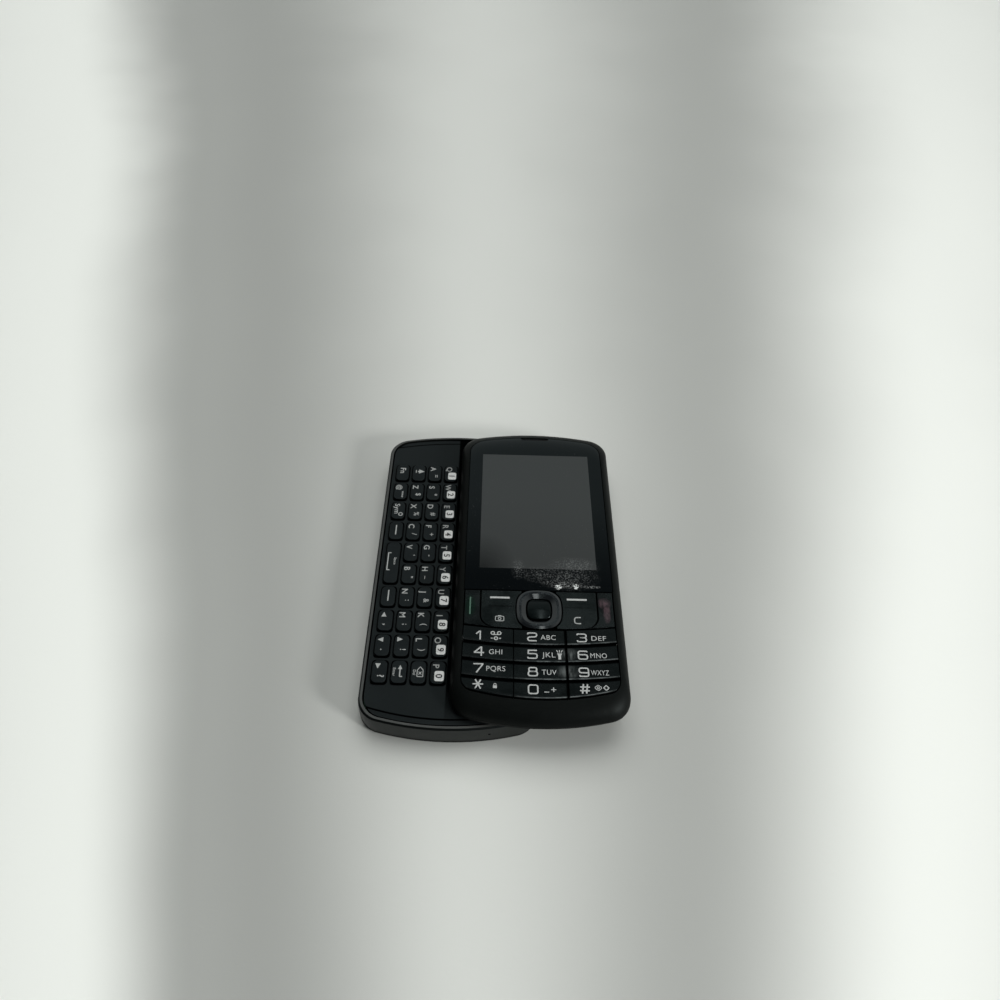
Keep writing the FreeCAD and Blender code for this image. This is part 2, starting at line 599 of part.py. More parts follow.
def qwerty_keymat():
    web = keyboard_area(KEY_GAP, Z_MAT_LOW, Z_MAT_LOW + MAT_WEB)
    pads = [rounded_block(x, y, KEY_WIDTH - 2 * KEY_GAP, length - 2 * KEY_GAP, Z_MAT_LOW, Z_PAD_TOP,
                          KEY_CORNER - KEY_GAP) for x, y, length in key_places()]
    return web.fuse(pads)


def deck_crescent(side, width, radius):
    """Everything past a bowed line across the deck, for the lowered crescent at one end."""
    z = Z_DECK_TOP - DECK_STEP
    middle_y = side * (HALF_LENGTH - RIM_WALL - DECK_GROOVE - width)
    corner_y = middle_y - side * (radius - math.sqrt(radius ** 2 - HALF_WIDTH ** 2))
    far_y = side * LENGTH
    left = Vector(-HALF_WIDTH, corner_y, z)
    right = Vector(HALF_WIDTH, corner_y, z)
    edges = [arc(left, Vector(0, middle_y, z), right)]
    corners = [right, Vector(HALF_WIDTH, far_y, z), Vector(-HALF_WIDTH, far_y, z), left]
    for start, end in zip(corners, corners[1:]):
        edges.append(Part.LineSegment(start, end).toShape())
    return prism(Part.Wire(edges), DECK_STEP + PAST)


def keyboard_deck():
    inset = RIM_WALL + DECK_GROOVE
    plate = base_prism(inset, Z_DECK_LOW, Z_DECK_TOP)
    skirt = base_prism(inset, Z_BOARD_TOP, Z_DECK_LOW)
    skirt = skirt.cut(base_prism(inset + DECK_SKIRT, Z_BOARD_TOP, Z_DECK_LOW))
    deck = plate.fuse([skirt] + [post(x, y, BOSS_RADIUS, Z_BOARD_TOP, Z_DECK_LOW)
                                 for x, y, z_head in base_screw_places()])
    tools = [rounded_block(x, y, KEY_WIDTH + 2 * KEY_GAP, length + 2 * KEY_GAP, Z_DECK_LOW - PAST,
                           Z_DECK_TOP + PAST, KEY_CORNER + KEY_GAP) for x, y, length in key_places()]
    tools.append(deck_crescent(1, DECK_STEP_TOP, DECK_STEP_TOP_RADIUS))
    tools.append(deck_crescent(-1, DECK_STEP_BOTTOM, DECK_STEP_BOTTOM_RADIUS))
    tools.append(flex_slot(FLEX_LOWER_X, Z_DECK_LOW - PAST, Z_DECK_TOP + PAST))
    for x, y, z_head in base_screw_places():
        tools.append(post(x, y, SCREW_RADIUS, Z_BOARD_TOP - PAST, Z_SCREW_TIP))
    return deck.cut(tools)


# ================================================================ electronics in the base
def main_board():
    board = base_prism(BLOCK_INSET + FIT, Z_BOARD_LOW, Z_BOARD_TOP)
    holes = [post(x, y, SCREW_RADIUS + SCREW_HOLE_GAP, Z_BOARD_LOW - PAST, Z_BOARD_TOP + PAST)
             for x, y, z_head in base_screw_places()]
    return board.cut(holes)


def shield_cans():
    z_low = Z_BOARD_LOW - CAN_HEIGHT
    large = rounded_block(0, SIM_LOW_Y + SIM_WALL + LARGE_CAN_LENGTH / 2, LARGE_CAN_WIDTH, LARGE_CAN_LENGTH,
                          z_low, Z_BOARD_LOW, CAN_CORNER)
    small = rounded_block(SMALL_CAN_SIDE_MARGIN - HALF_WIDTH, SPEAKER_Y, SMALL_CAN_WIDTH, SMALL_CAN_LENGTH,
                          z_low, Z_BOARD_LOW, CAN_CORNER)
    return Part.makeCompound([large, small])


def battery():
    shape = block(-BATTERY_HALF_WIDTH, BATTERY_HALF_WIDTH, BAY_BOTTOM_Y, BATTERY_TOP_Y, Z_CHASSIS_LOW,
                  Z_CHASSIS_LOW + BATTERY_THICKNESS)
    return round_upright_edges(shape, BATTERY_CORNER)


def contact_block():
    y_high = BAY_BOTTOM_Y - FIT
    return block(CONTACT_X - CONTACT_WIDTH / 2, CONTACT_X + CONTACT_WIDTH / 2, y_high - CONTACT_DEPTH, y_high,
                 Z_CHASSIS_LOW, Z_CHASSIS_LOW + CONTACT_HEIGHT)


def battery_contacts():
    blades = []
    for number in range(BLADES):
        x = CONTACT_X + (number - (BLADES - 1) / 2) * BLADE_PITCH
        blades.append(centred_block(x, BAY_BOTTOM_Y - FIT / 2, BLADE_WIDTH, FIT, Z_CHASSIS_LOW + BLADE_LIFT,
                                    Z_CHASSIS_LOW + CONTACT_HEIGHT - BLADE_LIFT))
    return contact_block().fuse(blades)


def contact_pocket():
    box = contact_block().BoundBox
    return block(box.XMin - FIT, box.XMax + FIT, box.YMin - FIT, box.YMax + PAST, 0, box.ZMax + FIT)


def sim_block(grow, z_low, z_high):
    half = SIM_WIDTH / 2 + grow
    return block(-half, half, SIM_LOW_Y - grow, SIM_HIGH_Y + grow, z_low, z_high)


def sim_holder():
    tray = sim_block(0, Z_CHASSIS_LOW, Z_CHASSIS_LOW + SIM_THICKNESS)
    return tray.cut(sim_block(-SIM_RIM, 0, Z_CHASSIS_LOW + SIM_THICKNESS / 2))


def sim_pocket():
    return sim_block(FIT, 0, Z_CHASSIS_LOW + SIM_THICKNESS)


def camera_body():
    return centred_block(CAMERA_X, CAMERA_Y, CAMERA_SIZE, CAMERA_SIZE, BACK_WALL, Z_BOARD_LOW)


def camera_module():
    barrel = post(CAMERA_X, CAMERA_Y, CAMERA_BARREL_RADIUS, CAMERA_WINDOW_THICKNESS + FIT, BACK_WALL)
    return round_upright_edges(camera_body(), CAMERA_CORNER).fuse(barrel)


def camera_window():
    return post(CAMERA_X, CAMERA_Y, CAMERA_WINDOW_RADIUS, CAMERA_WINDOW_SUNK, CAMERA_WINDOW_THICKNESS)


def speaker_body():
    return centred_block(SPEAKER_X, SPEAKER_Y, SPEAKER_LENGTH, SPEAKER_WIDTH,
                         Z_BOARD_LOW - SPEAKER_HEIGHT, Z_BOARD_LOW)


def loudspeaker():
    return round_upright_edges(speaker_body(), SPEAKER_CORNER)


def speaker_holes():
    holes = []
    for row in range(SPEAKER_HOLE_ROWS):
        y = SPEAKER_Y + (row - (SPEAKER_HOLE_ROWS - 1) / 2) * SPEAKER_HOLE_PITCH
        for column in range(SPEAKER_HOLE_COLUMNS):
            x = SPEAKER_X + (column - (SPEAKER_HOLE_COLUMNS - 1) / 2) * SPEAKER_HOLE_PITCH
            holes.append(post(x, y, SPEAKER_HOLE_RADIUS, -PAST, Z_BOARD_LOW))
    return holes


def vibration_motor():
    return post(MOTOR_X, MOTOR_Y, MOTOR_RADIUS, Z_BOARD_LOW - MOTOR_HEIGHT, Z_BOARD_LOW)


def mic_body():
    return centred_block(MIC_X, MIC_Y, MIC_SIZE, MIC_SIZE, Z_BOARD_LOW - MIC_HEIGHT, Z_BOARD_LOW)


def mic_port():
    return Part.makeCylinder(MIC_PORT_RADIUS, HALF_LENGTH + MIC_Y + PAST, Vector(MIC_X, MIC_Y, Z_MIC),
                             Vector(0, -1, 0))


def antenna():
    x_low = ANTENNA_SIDE_MARGIN - HALF_WIDTH
    x_high = JACK_X - JACK_BODY / 2 - ANTENNA_JACK_GAP
    y = HALF_LENGTH - ANTENNA_TOP_MARGIN
    return block(x_low, x_high, y - ANTENNA_LENGTH / 2, y + ANTENNA_LENGTH / 2,
                 Z_BOARD_LOW - ANTENNA_THICKNESS, Z_BOARD_LOW)


def jack_body():
    """Square body of the headset socket, as far out as its outer corner leaves room."""
    half = JACK_BODY / 2
    outer_x = JACK_X + half
    end_y = HALF_LENGTH - TOP_END_RADIUS + math.sqrt(TOP_END_RADIUS ** 2 - outer_x ** 2)
    y_high = end_y - BLOCK_INSET - 2 * FIT
    return block(JACK_X - half, JACK_X + half, y_high - JACK_LENGTH, y_high, Z_BOARD_LOW - JACK_BODY,
                 Z_BOARD_LOW)


def jack_passage():
    """Way in to the headset socket through the chassis and the band."""
    mouth_y = jack_body().BoundBox.YMax
    return Part.makeCylinder(JACK_RADIUS + JACK_MOUTH_GAP, HALF_LENGTH + PAST - mouth_y,
                             Vector(JACK_X, mouth_y, Z_JACK), Vector(0, 1, 0))


def headset_jack():
    body = jack_body()
    mouth = Vector(JACK_X, body.BoundBox.YMax, Z_JACK)
    return body.cut(Part.makeCylinder(JACK_RADIUS, JACK_DEPTH, mouth, Vector(0, -1, 0)))


def usb_body():
    return block(BLOCK_HALF_WIDTH - USB_DEPTH, BLOCK_HALF_WIDTH, USB_Y - USB_WIDTH / 2, USB_Y + USB_WIDTH / 2,
                 Z_USB - USB_HEIGHT / 2, Z_USB + USB_HEIGHT / 2)


def usb_opening():
    half = USB_WIDTH / 2 + FIT
    return block(HALF_WIDTH - 2 * RIM_WALL, HALF_WIDTH + PAST, USB_Y - half, USB_Y + half,
                 Z_USB - USB_HEIGHT / 2 - FIT, Z_USB + USB_HEIGHT / 2 + FIT)


def usb_socket():
    body = usb_body()
    box = body.BoundBox
    x_back = box.XMin + USB_END_WALL
    hollow = block(x_back, box.XMax + PAST, box.YMin + USB_WALL, box.YMax - USB_WALL, box.ZMin + USB_WALL,
                   box.ZMax - USB_WALL)
    tongue = block(x_back, box.XMax - USB_END_WALL, box.YMin + USB_TONGUE_SIDE, box.YMax - USB_TONGUE_SIDE,
                   Z_USB - USB_TONGUE_THICKNESS / 2, Z_USB + USB_TONGUE_THICKNESS / 2)
    return body.cut(hollow).fuse(tongue)


def base_screw_places():
    """Centre and lowest point of each screw that closes the base; two heads show on the back."""
    side = HALF_WIDTH - SCREW_SIDE_MARGIN
    chin_side = HALF_WIDTH - SCREW_CHIN_SIDE_MARGIN
    chin_y = SCREW_CHIN_MARGIN - HALF_LENGTH
    return [(-side, HALF_LENGTH - SCREW_TOP_MARGIN, SCREW_HOLE_GAP),
            (side, HALF_LENGTH - SCREW_SHOULDER_MARGIN, SCREW_HOLE_GAP),
            (-chin_side, chin_y, Z_CHASSIS_LOW), (chin_side, chin_y, Z_CHASSIS_LOW)]


def screw(x, y, z_head, z_tip):
    head = post(x, y, SCREW_HEAD_RADIUS, z_head, z_head + SCREW_HEAD_HEIGHT)
    shank = post(x, y, SCREW_RADIUS, z_head, z_tip)
    z_slot = z_head + SLOT_IN_HEAD
    slots = [centred_block(x, y, SCREW_HEAD_RADIUS, SLOT_IN_HEAD, z_head - PAST, z_slot),
             centred_block(x, y, SLOT_IN_HEAD, SCREW_HEAD_RADIUS, z_head - PAST, z_slot)]
    return head.fuse(shank).cut(slots)


def base_screws():
    return Part.makeCompound([screw(x, y, z_head, Z_SCREW_TIP) for x, y, z_head in base_screw_places()])


# ================================================================ side keys
def side_key_block(y, length, grow, x_low, x_high):
    """Block round a side key's outline, seen from the side, between two depths."""
    half_length = length / 2 + grow
    half_height = SIDE_KEY_HEIGHT / 2 + grow
    return block(x_low, x_high, y - half_length, y + half_length, Z_SIDE_KEY - half_height,
                 Z_SIDE_KEY + half_height)


def side_key_opening(y, length):
    return side_key_block(y, length, KEY_GAP, BLOCK_HALF_WIDTH, HALF_WIDTH + PAST)


def side_key_pocket(y, length):
    margin = SIDE_FLANGE_OVERHANG + 2 * KEY_GAP
    x_low = BLOCK_HALF_WIDTH - SIDE_FLANGE - SIDE_KEY_ROOM
    return side_key_block(y, length, margin, x_low, BLOCK_HALF_WIDTH + PAST)


def side_key(y, length, setback):
    """Cap with a flange behind the band; the setback is the flange's room to move outwards."""
    x_flange = BLOCK_HALF_WIDTH - setback
    cap = side_key_block(y, length, 0, x_flange - SIDE_FLANGE, HALF_WIDTH + SIDE_KEY_PROUD)
    outer = [edge for edge in cap.Edges if edge.BoundBox.XMin > HALF_WIDTH]
    cap = cap.makeFillet(SIDE_KEY_ROUND, outer)
    return cap.fuse(side_key_block(y, length, SIDE_FLANGE_OVERHANG, x_flange - SIDE_FLANGE, x_flange))


def volume_rocker():
    """Side key with a round rib behind it, which stands on the pocket's floor and is its pivot."""
    radius = SIDE_KEY_ROOM - ROCKER_SWING - PIVOT_GAP
    x_pivot = BLOCK_HALF_WIDTH - SIDE_FLANGE - ROCKER_SWING
    rib = post(x_pivot, ROCKER_Y, radius, Z_SIDE_KEY - SIDE_KEY_HEIGHT / 2, Z_SIDE_KEY + SIDE_KEY_HEIGHT / 2)
    return side_key(ROCKER_Y, ROCKER_LENGTH, ROCKER_SWING).fuse(rib)


# ================================================================ slide mechanism
def end_strips(x_low, x_high, inner_y, outer_y, z_low, z_high):
    """The same block at both ends of the slide mechanism."""
    return [block(x_low, x_high, inner_y, outer_y, z_low, z_high),
            block(x_low, x_high, -outer_y, -inner_y, z_low, z_high)]


def slide_rail_plate():
    plate = block(GUIDE_X_LOW, GUIDE_X_HIGH, -GUIDE_OUTER_Y, GUIDE_OUTER_Y, Z_DECK_TOP, Z_RAIL_TOP)
    guides = end_strips(GUIDE_X_LOW, GUIDE_X_HIGH, GUIDE_INNER_Y, GUIDE_OUTER_Y, Z_RAIL_TOP, Z_LIP_TOP)
    pin = post(SPRING_FIXED_X, SPRING_FIXED_Y, PIN_RADIUS, Z_RAIL_TOP, Z_PLATE_LOW - RUNNING_GAP)
    grooves = end_strips(GUIDE_X_LOW - PAST, GUIDE_X_HIGH + PAST, GUIDE_INNER_Y - PAST,
                         RAIL_HALF_SPAN + RUNNING_GAP, Z_PLATE_LOW - RUNNING_GAP, Z_LIP_LOW)
    slot = flex_slot(FLEX_LOWER_X, Z_DECK_TOP - PAST, Z_RAIL_TOP + PAST)
    return plate.fuse(guides + [pin]).cut(grooves + [slot])


def moving_slide_plate():
    plate = centred_block(0, 0, 2 * PLATE_HALF_WIDTH, 2 * RAIL_HALF_SPAN, Z_PLATE_LOW, Z_PLATE_TOP)
    pin = post(0, SPRING_MOVING_Y, PIN_RADIUS, Z_RAIL_TOP + RUNNING_GAP, Z_PLATE_LOW)
    return plate.fuse(pin).cut(flex_slot(FLEX_UPPER_X, Z_PLATE_LOW - PAST, Z_PLATE_TOP + PAST))


def flex_slot(x, z_low, z_high):
    return centred_block(x, FLEX_Y, FLEX_SLOT_WIDTH, FLEX_WIDTH + 2 * FLEX_SLOT_SIDE, z_low, z_high)


def flex_cable():
    """Ribbon folded once between the plates, from the main board up to the slider's board."""
    half = FLEX_THICKNESS / 2
    z_lower = Z_RAIL_TOP + RUNNING_GAP + half
    z_upper = Z_PLATE_LOW - RUNNING_GAP - half
    radius = (z_upper - z_lower) / 2
    upper_x = FLEX_UPPER_X + SLIDE_TRAVEL
    y_low = FLEX_Y - FLEX_WIDTH / 2
    y_high = FLEX_Y + FLEX_WIDTH / 2
    rise = block(FLEX_LOWER_X - half, FLEX_LOWER_X + half, y_low, y_high, Z_BOARD_TOP, z_lower + half)
    lower = block(FLEX_LOWER_X, FLEX_BEND_X, y_low, y_high, z_lower - half, z_lower + half)
    upper = block(upper_x, FLEX_BEND_X, y_low, y_high, z_upper - half, z_upper + half)
    tail = block(upper_x - half, upper_x + half, y_low, y_high, z_upper - half, Z_MID_FLOOR)
    centre = Vector(FLEX_BEND_X, y_low, (z_lower + z_upper) / 2)
    outer = Part.makeCylinder(radius + half, FLEX_WIDTH, centre, Vector(0, 1, 0))
    inner = Part.makeCylinder(radius - half, FLEX_WIDTH, centre, Vector(0, 1, 0))
    outer_side = block(FLEX_BEND_X, FLEX_BEND_X + 2 * radius, y_low, y_high, Z_RAIL_TOP, Z_PLATE_LOW)
    bend = outer.cut(inner).common(outer_side)
    return rise.fuse([lower, upper, tail, bend]).removeSplitter()


def slide_spring():
    """Open-loop wire spring that snaps the slider to either end, between its two pins."""
    z = (Z_RAIL_TOP + Z_PLATE_LOW) / 2
    reach = PIN_RADIUS + SPRING_WIRE / 2 + RUNNING_GAP / 2
    start = Vector(SPRING_FIXED_X, SPRING_FIXED_Y + reach, z)
    end = Vector(SLIDE_TRAVEL, SPRING_MOVING_Y - reach, z)
    along = (end - start).normalize()
    across = Vector(-along.y, along.x, 0)
    middle = (start + end) * 0.5
    centre = middle + across * SPRING_LOOP
    neck_out = along * SPRING_LOOP * SPRING_NECK
    neck_down = across * SPRING_LOOP * math.sqrt(1 - SPRING_NECK ** 2)
    neck_a = centre - neck_out - neck_down
    neck_b = centre + neck_out - neck_down
    edges = [Part.LineSegment(start, neck_a).toShape(), arc(neck_a, centre + across * SPRING_LOOP, neck_b)]
    edges.append(Part.LineSegment(neck_b, end).toShape())
    pieces = []
    for edge in edges:
        path = Part.Wire([edge])
        first = edge.valueAt(edge.FirstParameter)
        ring = Part.Wire([Part.makeCircle(SPRING_WIRE / 2, first, edge.tangentAt(edge.FirstParameter))])
        pieces.append(path.makePipeShell([ring], True, True))
    joints = [Part.makeSphere(SPRING_WIRE / 2, point) for point in (neck_a, neck_b)]
    return pieces[0].fuse(pieces[1:] + joints)


# ================================================================ slider shells
def slider_form(wall, face):
    """The slider's outer shape, or one shrunk by a side wall and a face wall."""
    z_widest = Z_SLIDER_LOW + SLIDER_EDGE_HEIGHT
    z_face = Z_FRONT - face
    rise = z_face - z_widest
    sections = [(Z_SLIDER_LOW, SLIDER_EDGE_INSET, SLIDER_EDGE_INSET, SLIDER_EDGE_INSET)]
    for step in range(ROUND_STEPS + 1):
        angle = step / ROUND_STEPS * math.pi / 2
        run = 1 - math.cos(angle)
        z = z_widest + rise * math.sin(angle)
        sections.append((z, SIDE_ROUND * run, TOP_ROUND * run, CHIN_ROUND * run))
    wires = []
    for z, side, top, chin in sections:
        wires.append(bowed_outline(HALF_WIDTH - wall - side, SLIDER_TOP_Y - wall - top,
                                   SLIDER_BOTTOM_Y + wall + chin, CORNER_RADIUS - wall / 2, z,
                                   TOP_END_RADIUS - wall, BOTTOM_END_RADIUS - wall))
    edge_band = Part.makeLoft(wires[:2], True, True)
    return edge_band.fuse(Part.makeLoft(wires[1:], True))


def window_prism(grow):
    """Plan outline of the window, square at its lower edge, through the whole slider."""
    half = WINDOW_HALF_WIDTH + grow
    outline = bowed_outline(half, WINDOW_TOP_Y + grow, SLIDER_BOTTOM_Y, WINDOW_CORNER + grow, Z_PARTING,
                            WINDOW_TOP_RADIUS + grow, BOTTOM_END_RADIUS)
    shape = prism(outline, Z_FRONT - Z_PARTING + PAST)
    return shape.cut(block(-WIDTH, WIDTH, -LENGTH, WINDOW_BOTTOM_Y - grow, Z_PARTING, Z_FRONT + PAST))


def shifted_down(shape, depth):
    moved = shape.copy()
    moved.translate(Vector(0, 0, -depth))
    return moved


def slot_prism():
    """The earpiece slot: wider at its upper edge, through the top of the slider."""
    top = WINDOW_TOP_Y + WINDOW_SEAM
    low = top - SLOT_HEIGHT
    corners = [Vector(-SLOT_TOP_HALF, top, Z_PARTING), Vector(SLOT_TOP_HALF, top, Z_PARTING),
               Vector(SLOT_BOTTOM_HALF, low, Z_PARTING), Vector(-SLOT_BOTTOM_HALF, low, Z_PARTING)]
    return prism(Part.makePolygon(corners + corners[:1]), Z_FRONT - Z_PARTING)


def field_outline(grow, z):
    """Plan outline of all the front keys together."""
    return bowed_outline(FIELD_HALF_WIDTH + grow, WINDOW_TOP_Y, FIELD_BOTTOM_Y - grow, FIELD_CORNER + grow, z,
                         WINDOW_TOP_RADIUS, FIELD_BOTTOM_RADIUS + grow)


def field_prism(grow, z_low, z_high):
    shape = prism(field_outline(grow, z_low), z_high - z_low)
    return shape.cut(block(-WIDTH, WIDTH, FIELD_TOP_Y + grow, LENGTH, z_low - PAST, z_high + PAST))


def ring_gap_prism():
    return prism(squircle(RING_CENTRE_Y, RING_HALF + KEY_LINE, RING_SIDE_RADIUS, RING_CORNER, Z_PARTING),
                 Z_FRONT - Z_PARTING + PAST)


def slider_front_housing(outer, inner):
    shell = outer.cut(inner)
    shell = shell.cut(block(-WIDTH, WIDTH, -LENGTH, LENGTH, Z_SLIDER_LOW - PAST, Z_PARTING + SEAM))
    bosses = [post(x, y, BOSS_RADIUS, Z_MID_FLOOR + SEAM, Z_FRONT) for x, y in slider_screw_places()]
    shell = shell.fuse([boss.common(outer) for boss in bosses])
    recess = window_prism(WINDOW_SEAM).cut(shifted_down(outer, WINDOW_THICKNESS + SEAM))
    tools = [recess, window_prism(-WINDOW_LEDGE), slot_prism(), ring_gap_prism()]
    tools.append(field_prism(KEY_LINE, Z_PARTING, Z_FRONT + PAST))
    tools += [post(x, y, SCREW_RADIUS, Z_MID_FLOOR, Z_SLIDER_BOARD_TOP) for x, y in slider_screw_places()]
    return shell.cut(tools)


def display_window(outer):
    plate = outer.common(window_prism(0)).cut(shifted_down(outer, WINDOW_THICKNESS))
    return plate.cut([slot_prism(), ring_gap_prism()])


def slider_rear_housing(outer):
    wall = outer.common(block(-WIDTH, WIDTH, -LENGTH, LENGTH, Z_SLIDER_LOW - PAST, Z_PARTING))
    inset = SHELL_WALL + SEAM
    top = SLIDER_TOP_Y - inset - TOP_ROUND * FLOOR_ROUND_SHARE
    bottom = SLIDER_BOTTOM_Y + inset + CHIN_ROUND * FLOOR_ROUND_SHARE
    floor_outline = bowed_outline(HALF_WIDTH - inset - FIT, top, bottom, CORNER_RADIUS - inset / 2,
                                  Z_SLIDER_LOW, TOP_END_RADIUS - inset, BOTTOM_END_RADIUS - inset)
    body = wall.fuse(prism(floor_outline, Z_MID_FLOOR - Z_SLIDER_LOW).common(outer))
    half = HALF_WIDTH - SLIDER_WALL
    reach = GUIDE_OUTER_Y + GUIDE_MARGIN
    tools = [block(-half, half, -reach, reach, Z_SLIDER_LOW - PAST, Z_PLATE_TOP)]
    tools += end_strips(-half, half, GUIDE_INNER_Y - GUIDE_MARGIN, reach, Z_SLIDER_LOW - PAST,
                        Z_MID_FLOOR + PAST)
    tools.append(flex_slot(FLEX_UPPER_X, Z_SLIDER_LOW, Z_MID_FLOOR + PAST))
    for x, y in slider_screw_places():
        tools.append(post(x, y, SCREW_RADIUS + SCREW_HOLE_GAP, Z_SLIDER_LOW - PAST, Z_MID_FLOOR + PAST))
        tools.append(post(x, y, SCREW_HEAD_RADIUS + SCREW_HOLE_GAP, Z_SLIDER_LOW - PAST,
                          Z_SLIDER_LOW + SEAM + SCREW_HEAD_HEIGHT))
    return body.cut(tools)


def slider_screw_places():
    side = SLIDER_BOARD_HALF_WIDTH + BOSS_RADIUS + FIT
    top_y = SLIDER_TOP_Y - SLIDER_SCREW_TOP_MARGIN
    chin_side = HALF_WIDTH - SLIDER_SCREW_CHIN_SIDE
    chin_y = SLIDER_BOTTOM_Y + SLIDER_SCREW_CHIN_MARGIN
    return [(-side, top_y), (side, top_y), (-chin_side, chin_y), (chin_side, chin_y)]


def slider_screws():
    return Part.makeCompound([screw(x, y, Z_SLIDER_LOW + SEAM, Z_SLIDER_BOARD_TOP)
                              for x, y in slider_screw_places()])


# ================================================================ parts inside the slider
def display_block(grow, z_low, z_high):
    half = DISPLAY_HALF_WIDTH + grow
    return block(-half, half, DISPLAY_BOTTOM_Y - grow, DISPLAY_TOP_Y + grow, z_low, z_high)


def display_module():
    return display_block(0, Z_MID_FLOOR + DISPLAY_FRAME, Z_DISPLAY_TOP)


def display_frame():
    """Pressed tray round the lower part of the display."""
    tray = display_block(FIT + DISPLAY_FRAME, Z_MID_FLOOR, Z_SLIDER_BOARD_TOP + DISPLAY_FRAME)
    return tray.cut(display_block(FIT, Z_MID_FLOOR + DISPLAY_FRAME, Z_FRONT))


def slider_board():
    half = SLIDER_BOARD_HALF_WIDTH
    return block(-half, half, SLIDER_BOARD_BOTTOM_Y, SLIDER_BOARD_TOP_Y, Z_MID_FLOOR, Z_SLIDER_BOARD_TOP)


def front_key_centres():
    """Middle of every front key's dome, on the slider's board."""
    centres = [(0, RING_CENTRE_Y)]
    reach = (RING_HALF + OK_HALF) / 2
    for turn in range(4):
        angle = turn * math.pi / 2
        centres.append((reach * math.cos(angle), RING_CENTRE_Y + reach * math.sin(angle)))
    for high, low in zip(ROW_LINES, ROW_LINES[1:]):
        for column in (-1, 0, 1):
            x = column * (COLUMN_SPLIT + FIELD_HALF_WIDTH) / 2
            centres.append((x, (high + low) / 2 + row_rise(x)))
    middle_x = (CALL_SPLIT + RING_HALF) / 2
    for side in (-1, 1):
        centres.append((side * (FIELD_HALF_WIDTH + CALL_SPLIT) / 2, RING_CENTRE_Y))
        centres.append((side * middle_x, RING_CENTRE_Y + RING_HALF / 2))
        centres.append((side * middle_x, RING_CENTRE_Y - RING_HALF / 2))
    return centres


def keypad_sheet(z_low, z_high):
    half = SLIDER_BOARD_HALF_WIDTH - KEY_GAP
    return block(-half, half, SLIDER_BOARD_BOTTOM_Y + KEY_GAP, FIELD_TOP_Y, z_low, z_high)


def keypad_dome_sheet():
    domes = [post(x, y, PAD_RADIUS, Z_SLIDER_BOARD_TOP, Z_FRONT_MAT_LOW) for x, y in front_key_centres()]
    return keypad_sheet(Z_SLIDER_BOARD_TOP, Z_SLIDER_BOARD_TOP + DOME_SHEET).fuse(domes)


def keypad_mat():
    pads = [post(x, y, PAD_RADIUS, Z_FRONT_MAT_LOW, Z_FRONT_PAD_TOP) for x, y in front_key_centres()]
    return keypad_sheet(Z_FRONT_MAT_LOW, Z_FRONT_MAT_LOW + MAT_WEB).fuse(pads)


def earpiece():
    y = SLIDER_TOP_Y - EARPIECE_INSET - EARPIECE_WIDTH / 2
    return rounded_block(0, y, EARPIECE_LENGTH, EARPIECE_WIDTH, Z_MID_FLOOR, Z_MID_FLOOR + EARPIECE_HEIGHT,
                         EARPIECE_WIDTH / 2 - FIT)


def earpiece_mesh(outer):
    sheet = shifted_down(outer, MESH_DEPTH).cut(shifted_down(outer, MESH_DEPTH + MESH_THICKNESS))
    return slot_prism().common(sheet)


# ================================================================ front keys
def row_rise(x):
    return ROW_RADIUS - math.sqrt(ROW_RADIUS ** 2 - x ** 2)


def column_span(column):
    """Left, middle and right of a column of number keys."""
    if column == 0:
        half = COLUMN_SPLIT - KEY_LINE / 2
        return -half, 0, half
    inner = COLUMN_SPLIT + KEY_LINE / 2
    x_low, x_high = (inner, FIELD_HALF_WIDTH) if column > 0 else (-FIELD_HALF_WIDTH, -inner)
    return x_low, (x_low + x_high) / 2, x_high


def bowed_line(level, span):
    return [Vector(x, level + row_rise(x), Z_CAP_LOW) for x in span]


def is_last(row):
    return row == len(NUMBER_ROW_HEIGHTS) - 1


def number_cell(row, column):
    """Plan cell of one number key, between two bowed lines, as a prism."""
    low = FIELD_BOTTOM_Y - FIELD_CORNER if is_last(row) else ROW_LINES[row + 1] + KEY_LINE / 2
    top = bowed_line(ROW_LINES[row] - KEY_LINE / 2, column_span(column))
    bottom = bowed_line(low, column_span(column))
    edges = [arc(*top), Part.LineSegment(top[2], bottom[2]).toShape(), arc(*reversed(bottom))]
    edges.append(Part.LineSegment(bottom[0], top[0]).toShape())
    cell = prism(Part.Wire(edges), KEY_CAP_HEIGHT + PAST)
    if is_last(row):
        return cell.common(field_prism(0, Z_CAP_LOW, Z_FRONT + PAST))
    return cell


def nose_y(row, x):
    """Lower edge of a number key at one place along its row."""
    if is_last(row):
        return FIELD_BOTTOM_Y + FIELD_BOTTOM_RADIUS - math.sqrt(FIELD_BOTTOM_RADIUS ** 2 - x ** 2)
    return ROW_LINES[row + 1] + KEY_LINE / 2 + row_rise(x)


def cap_section(row, x):
    """Section of a number key along the phone: a slope up to a rounded ridge, then a short nose."""
    y_high = ROW_LINES[row] + row_rise(x) + PAST
    y_low = nose_y(row, x)
    ridge_back = Vector(x, y_low + CAP_RIDGE_BACK, Z_FRONT)
    crest = Vector(x, y_low + CAP_RIDGE_BACK / 2, Z_FRONT + CAP_RIDGE)
    nose = Vector(x, y_low - CAP_NOSE_PAST, Z_FRONT - CAP_NOSE_DROP)
    corners = [nose, Vector(x, y_low - PAST, Z_FRONT - 2 * CAP_NOSE_DROP), Vector(x, y_low - PAST, Z_CAP_LOW),
               Vector(x, y_high, Z_CAP_LOW), Vector(x, y_high, Z_FRONT - CAP_BACK_DROP), ridge_back]
    edges = [Part.LineSegment(start, end).toShape() for start, end in zip(corners, corners[1:])]
    edges.append(arc(ridge_back, crest, nose))
    return Part.Wire(edges)


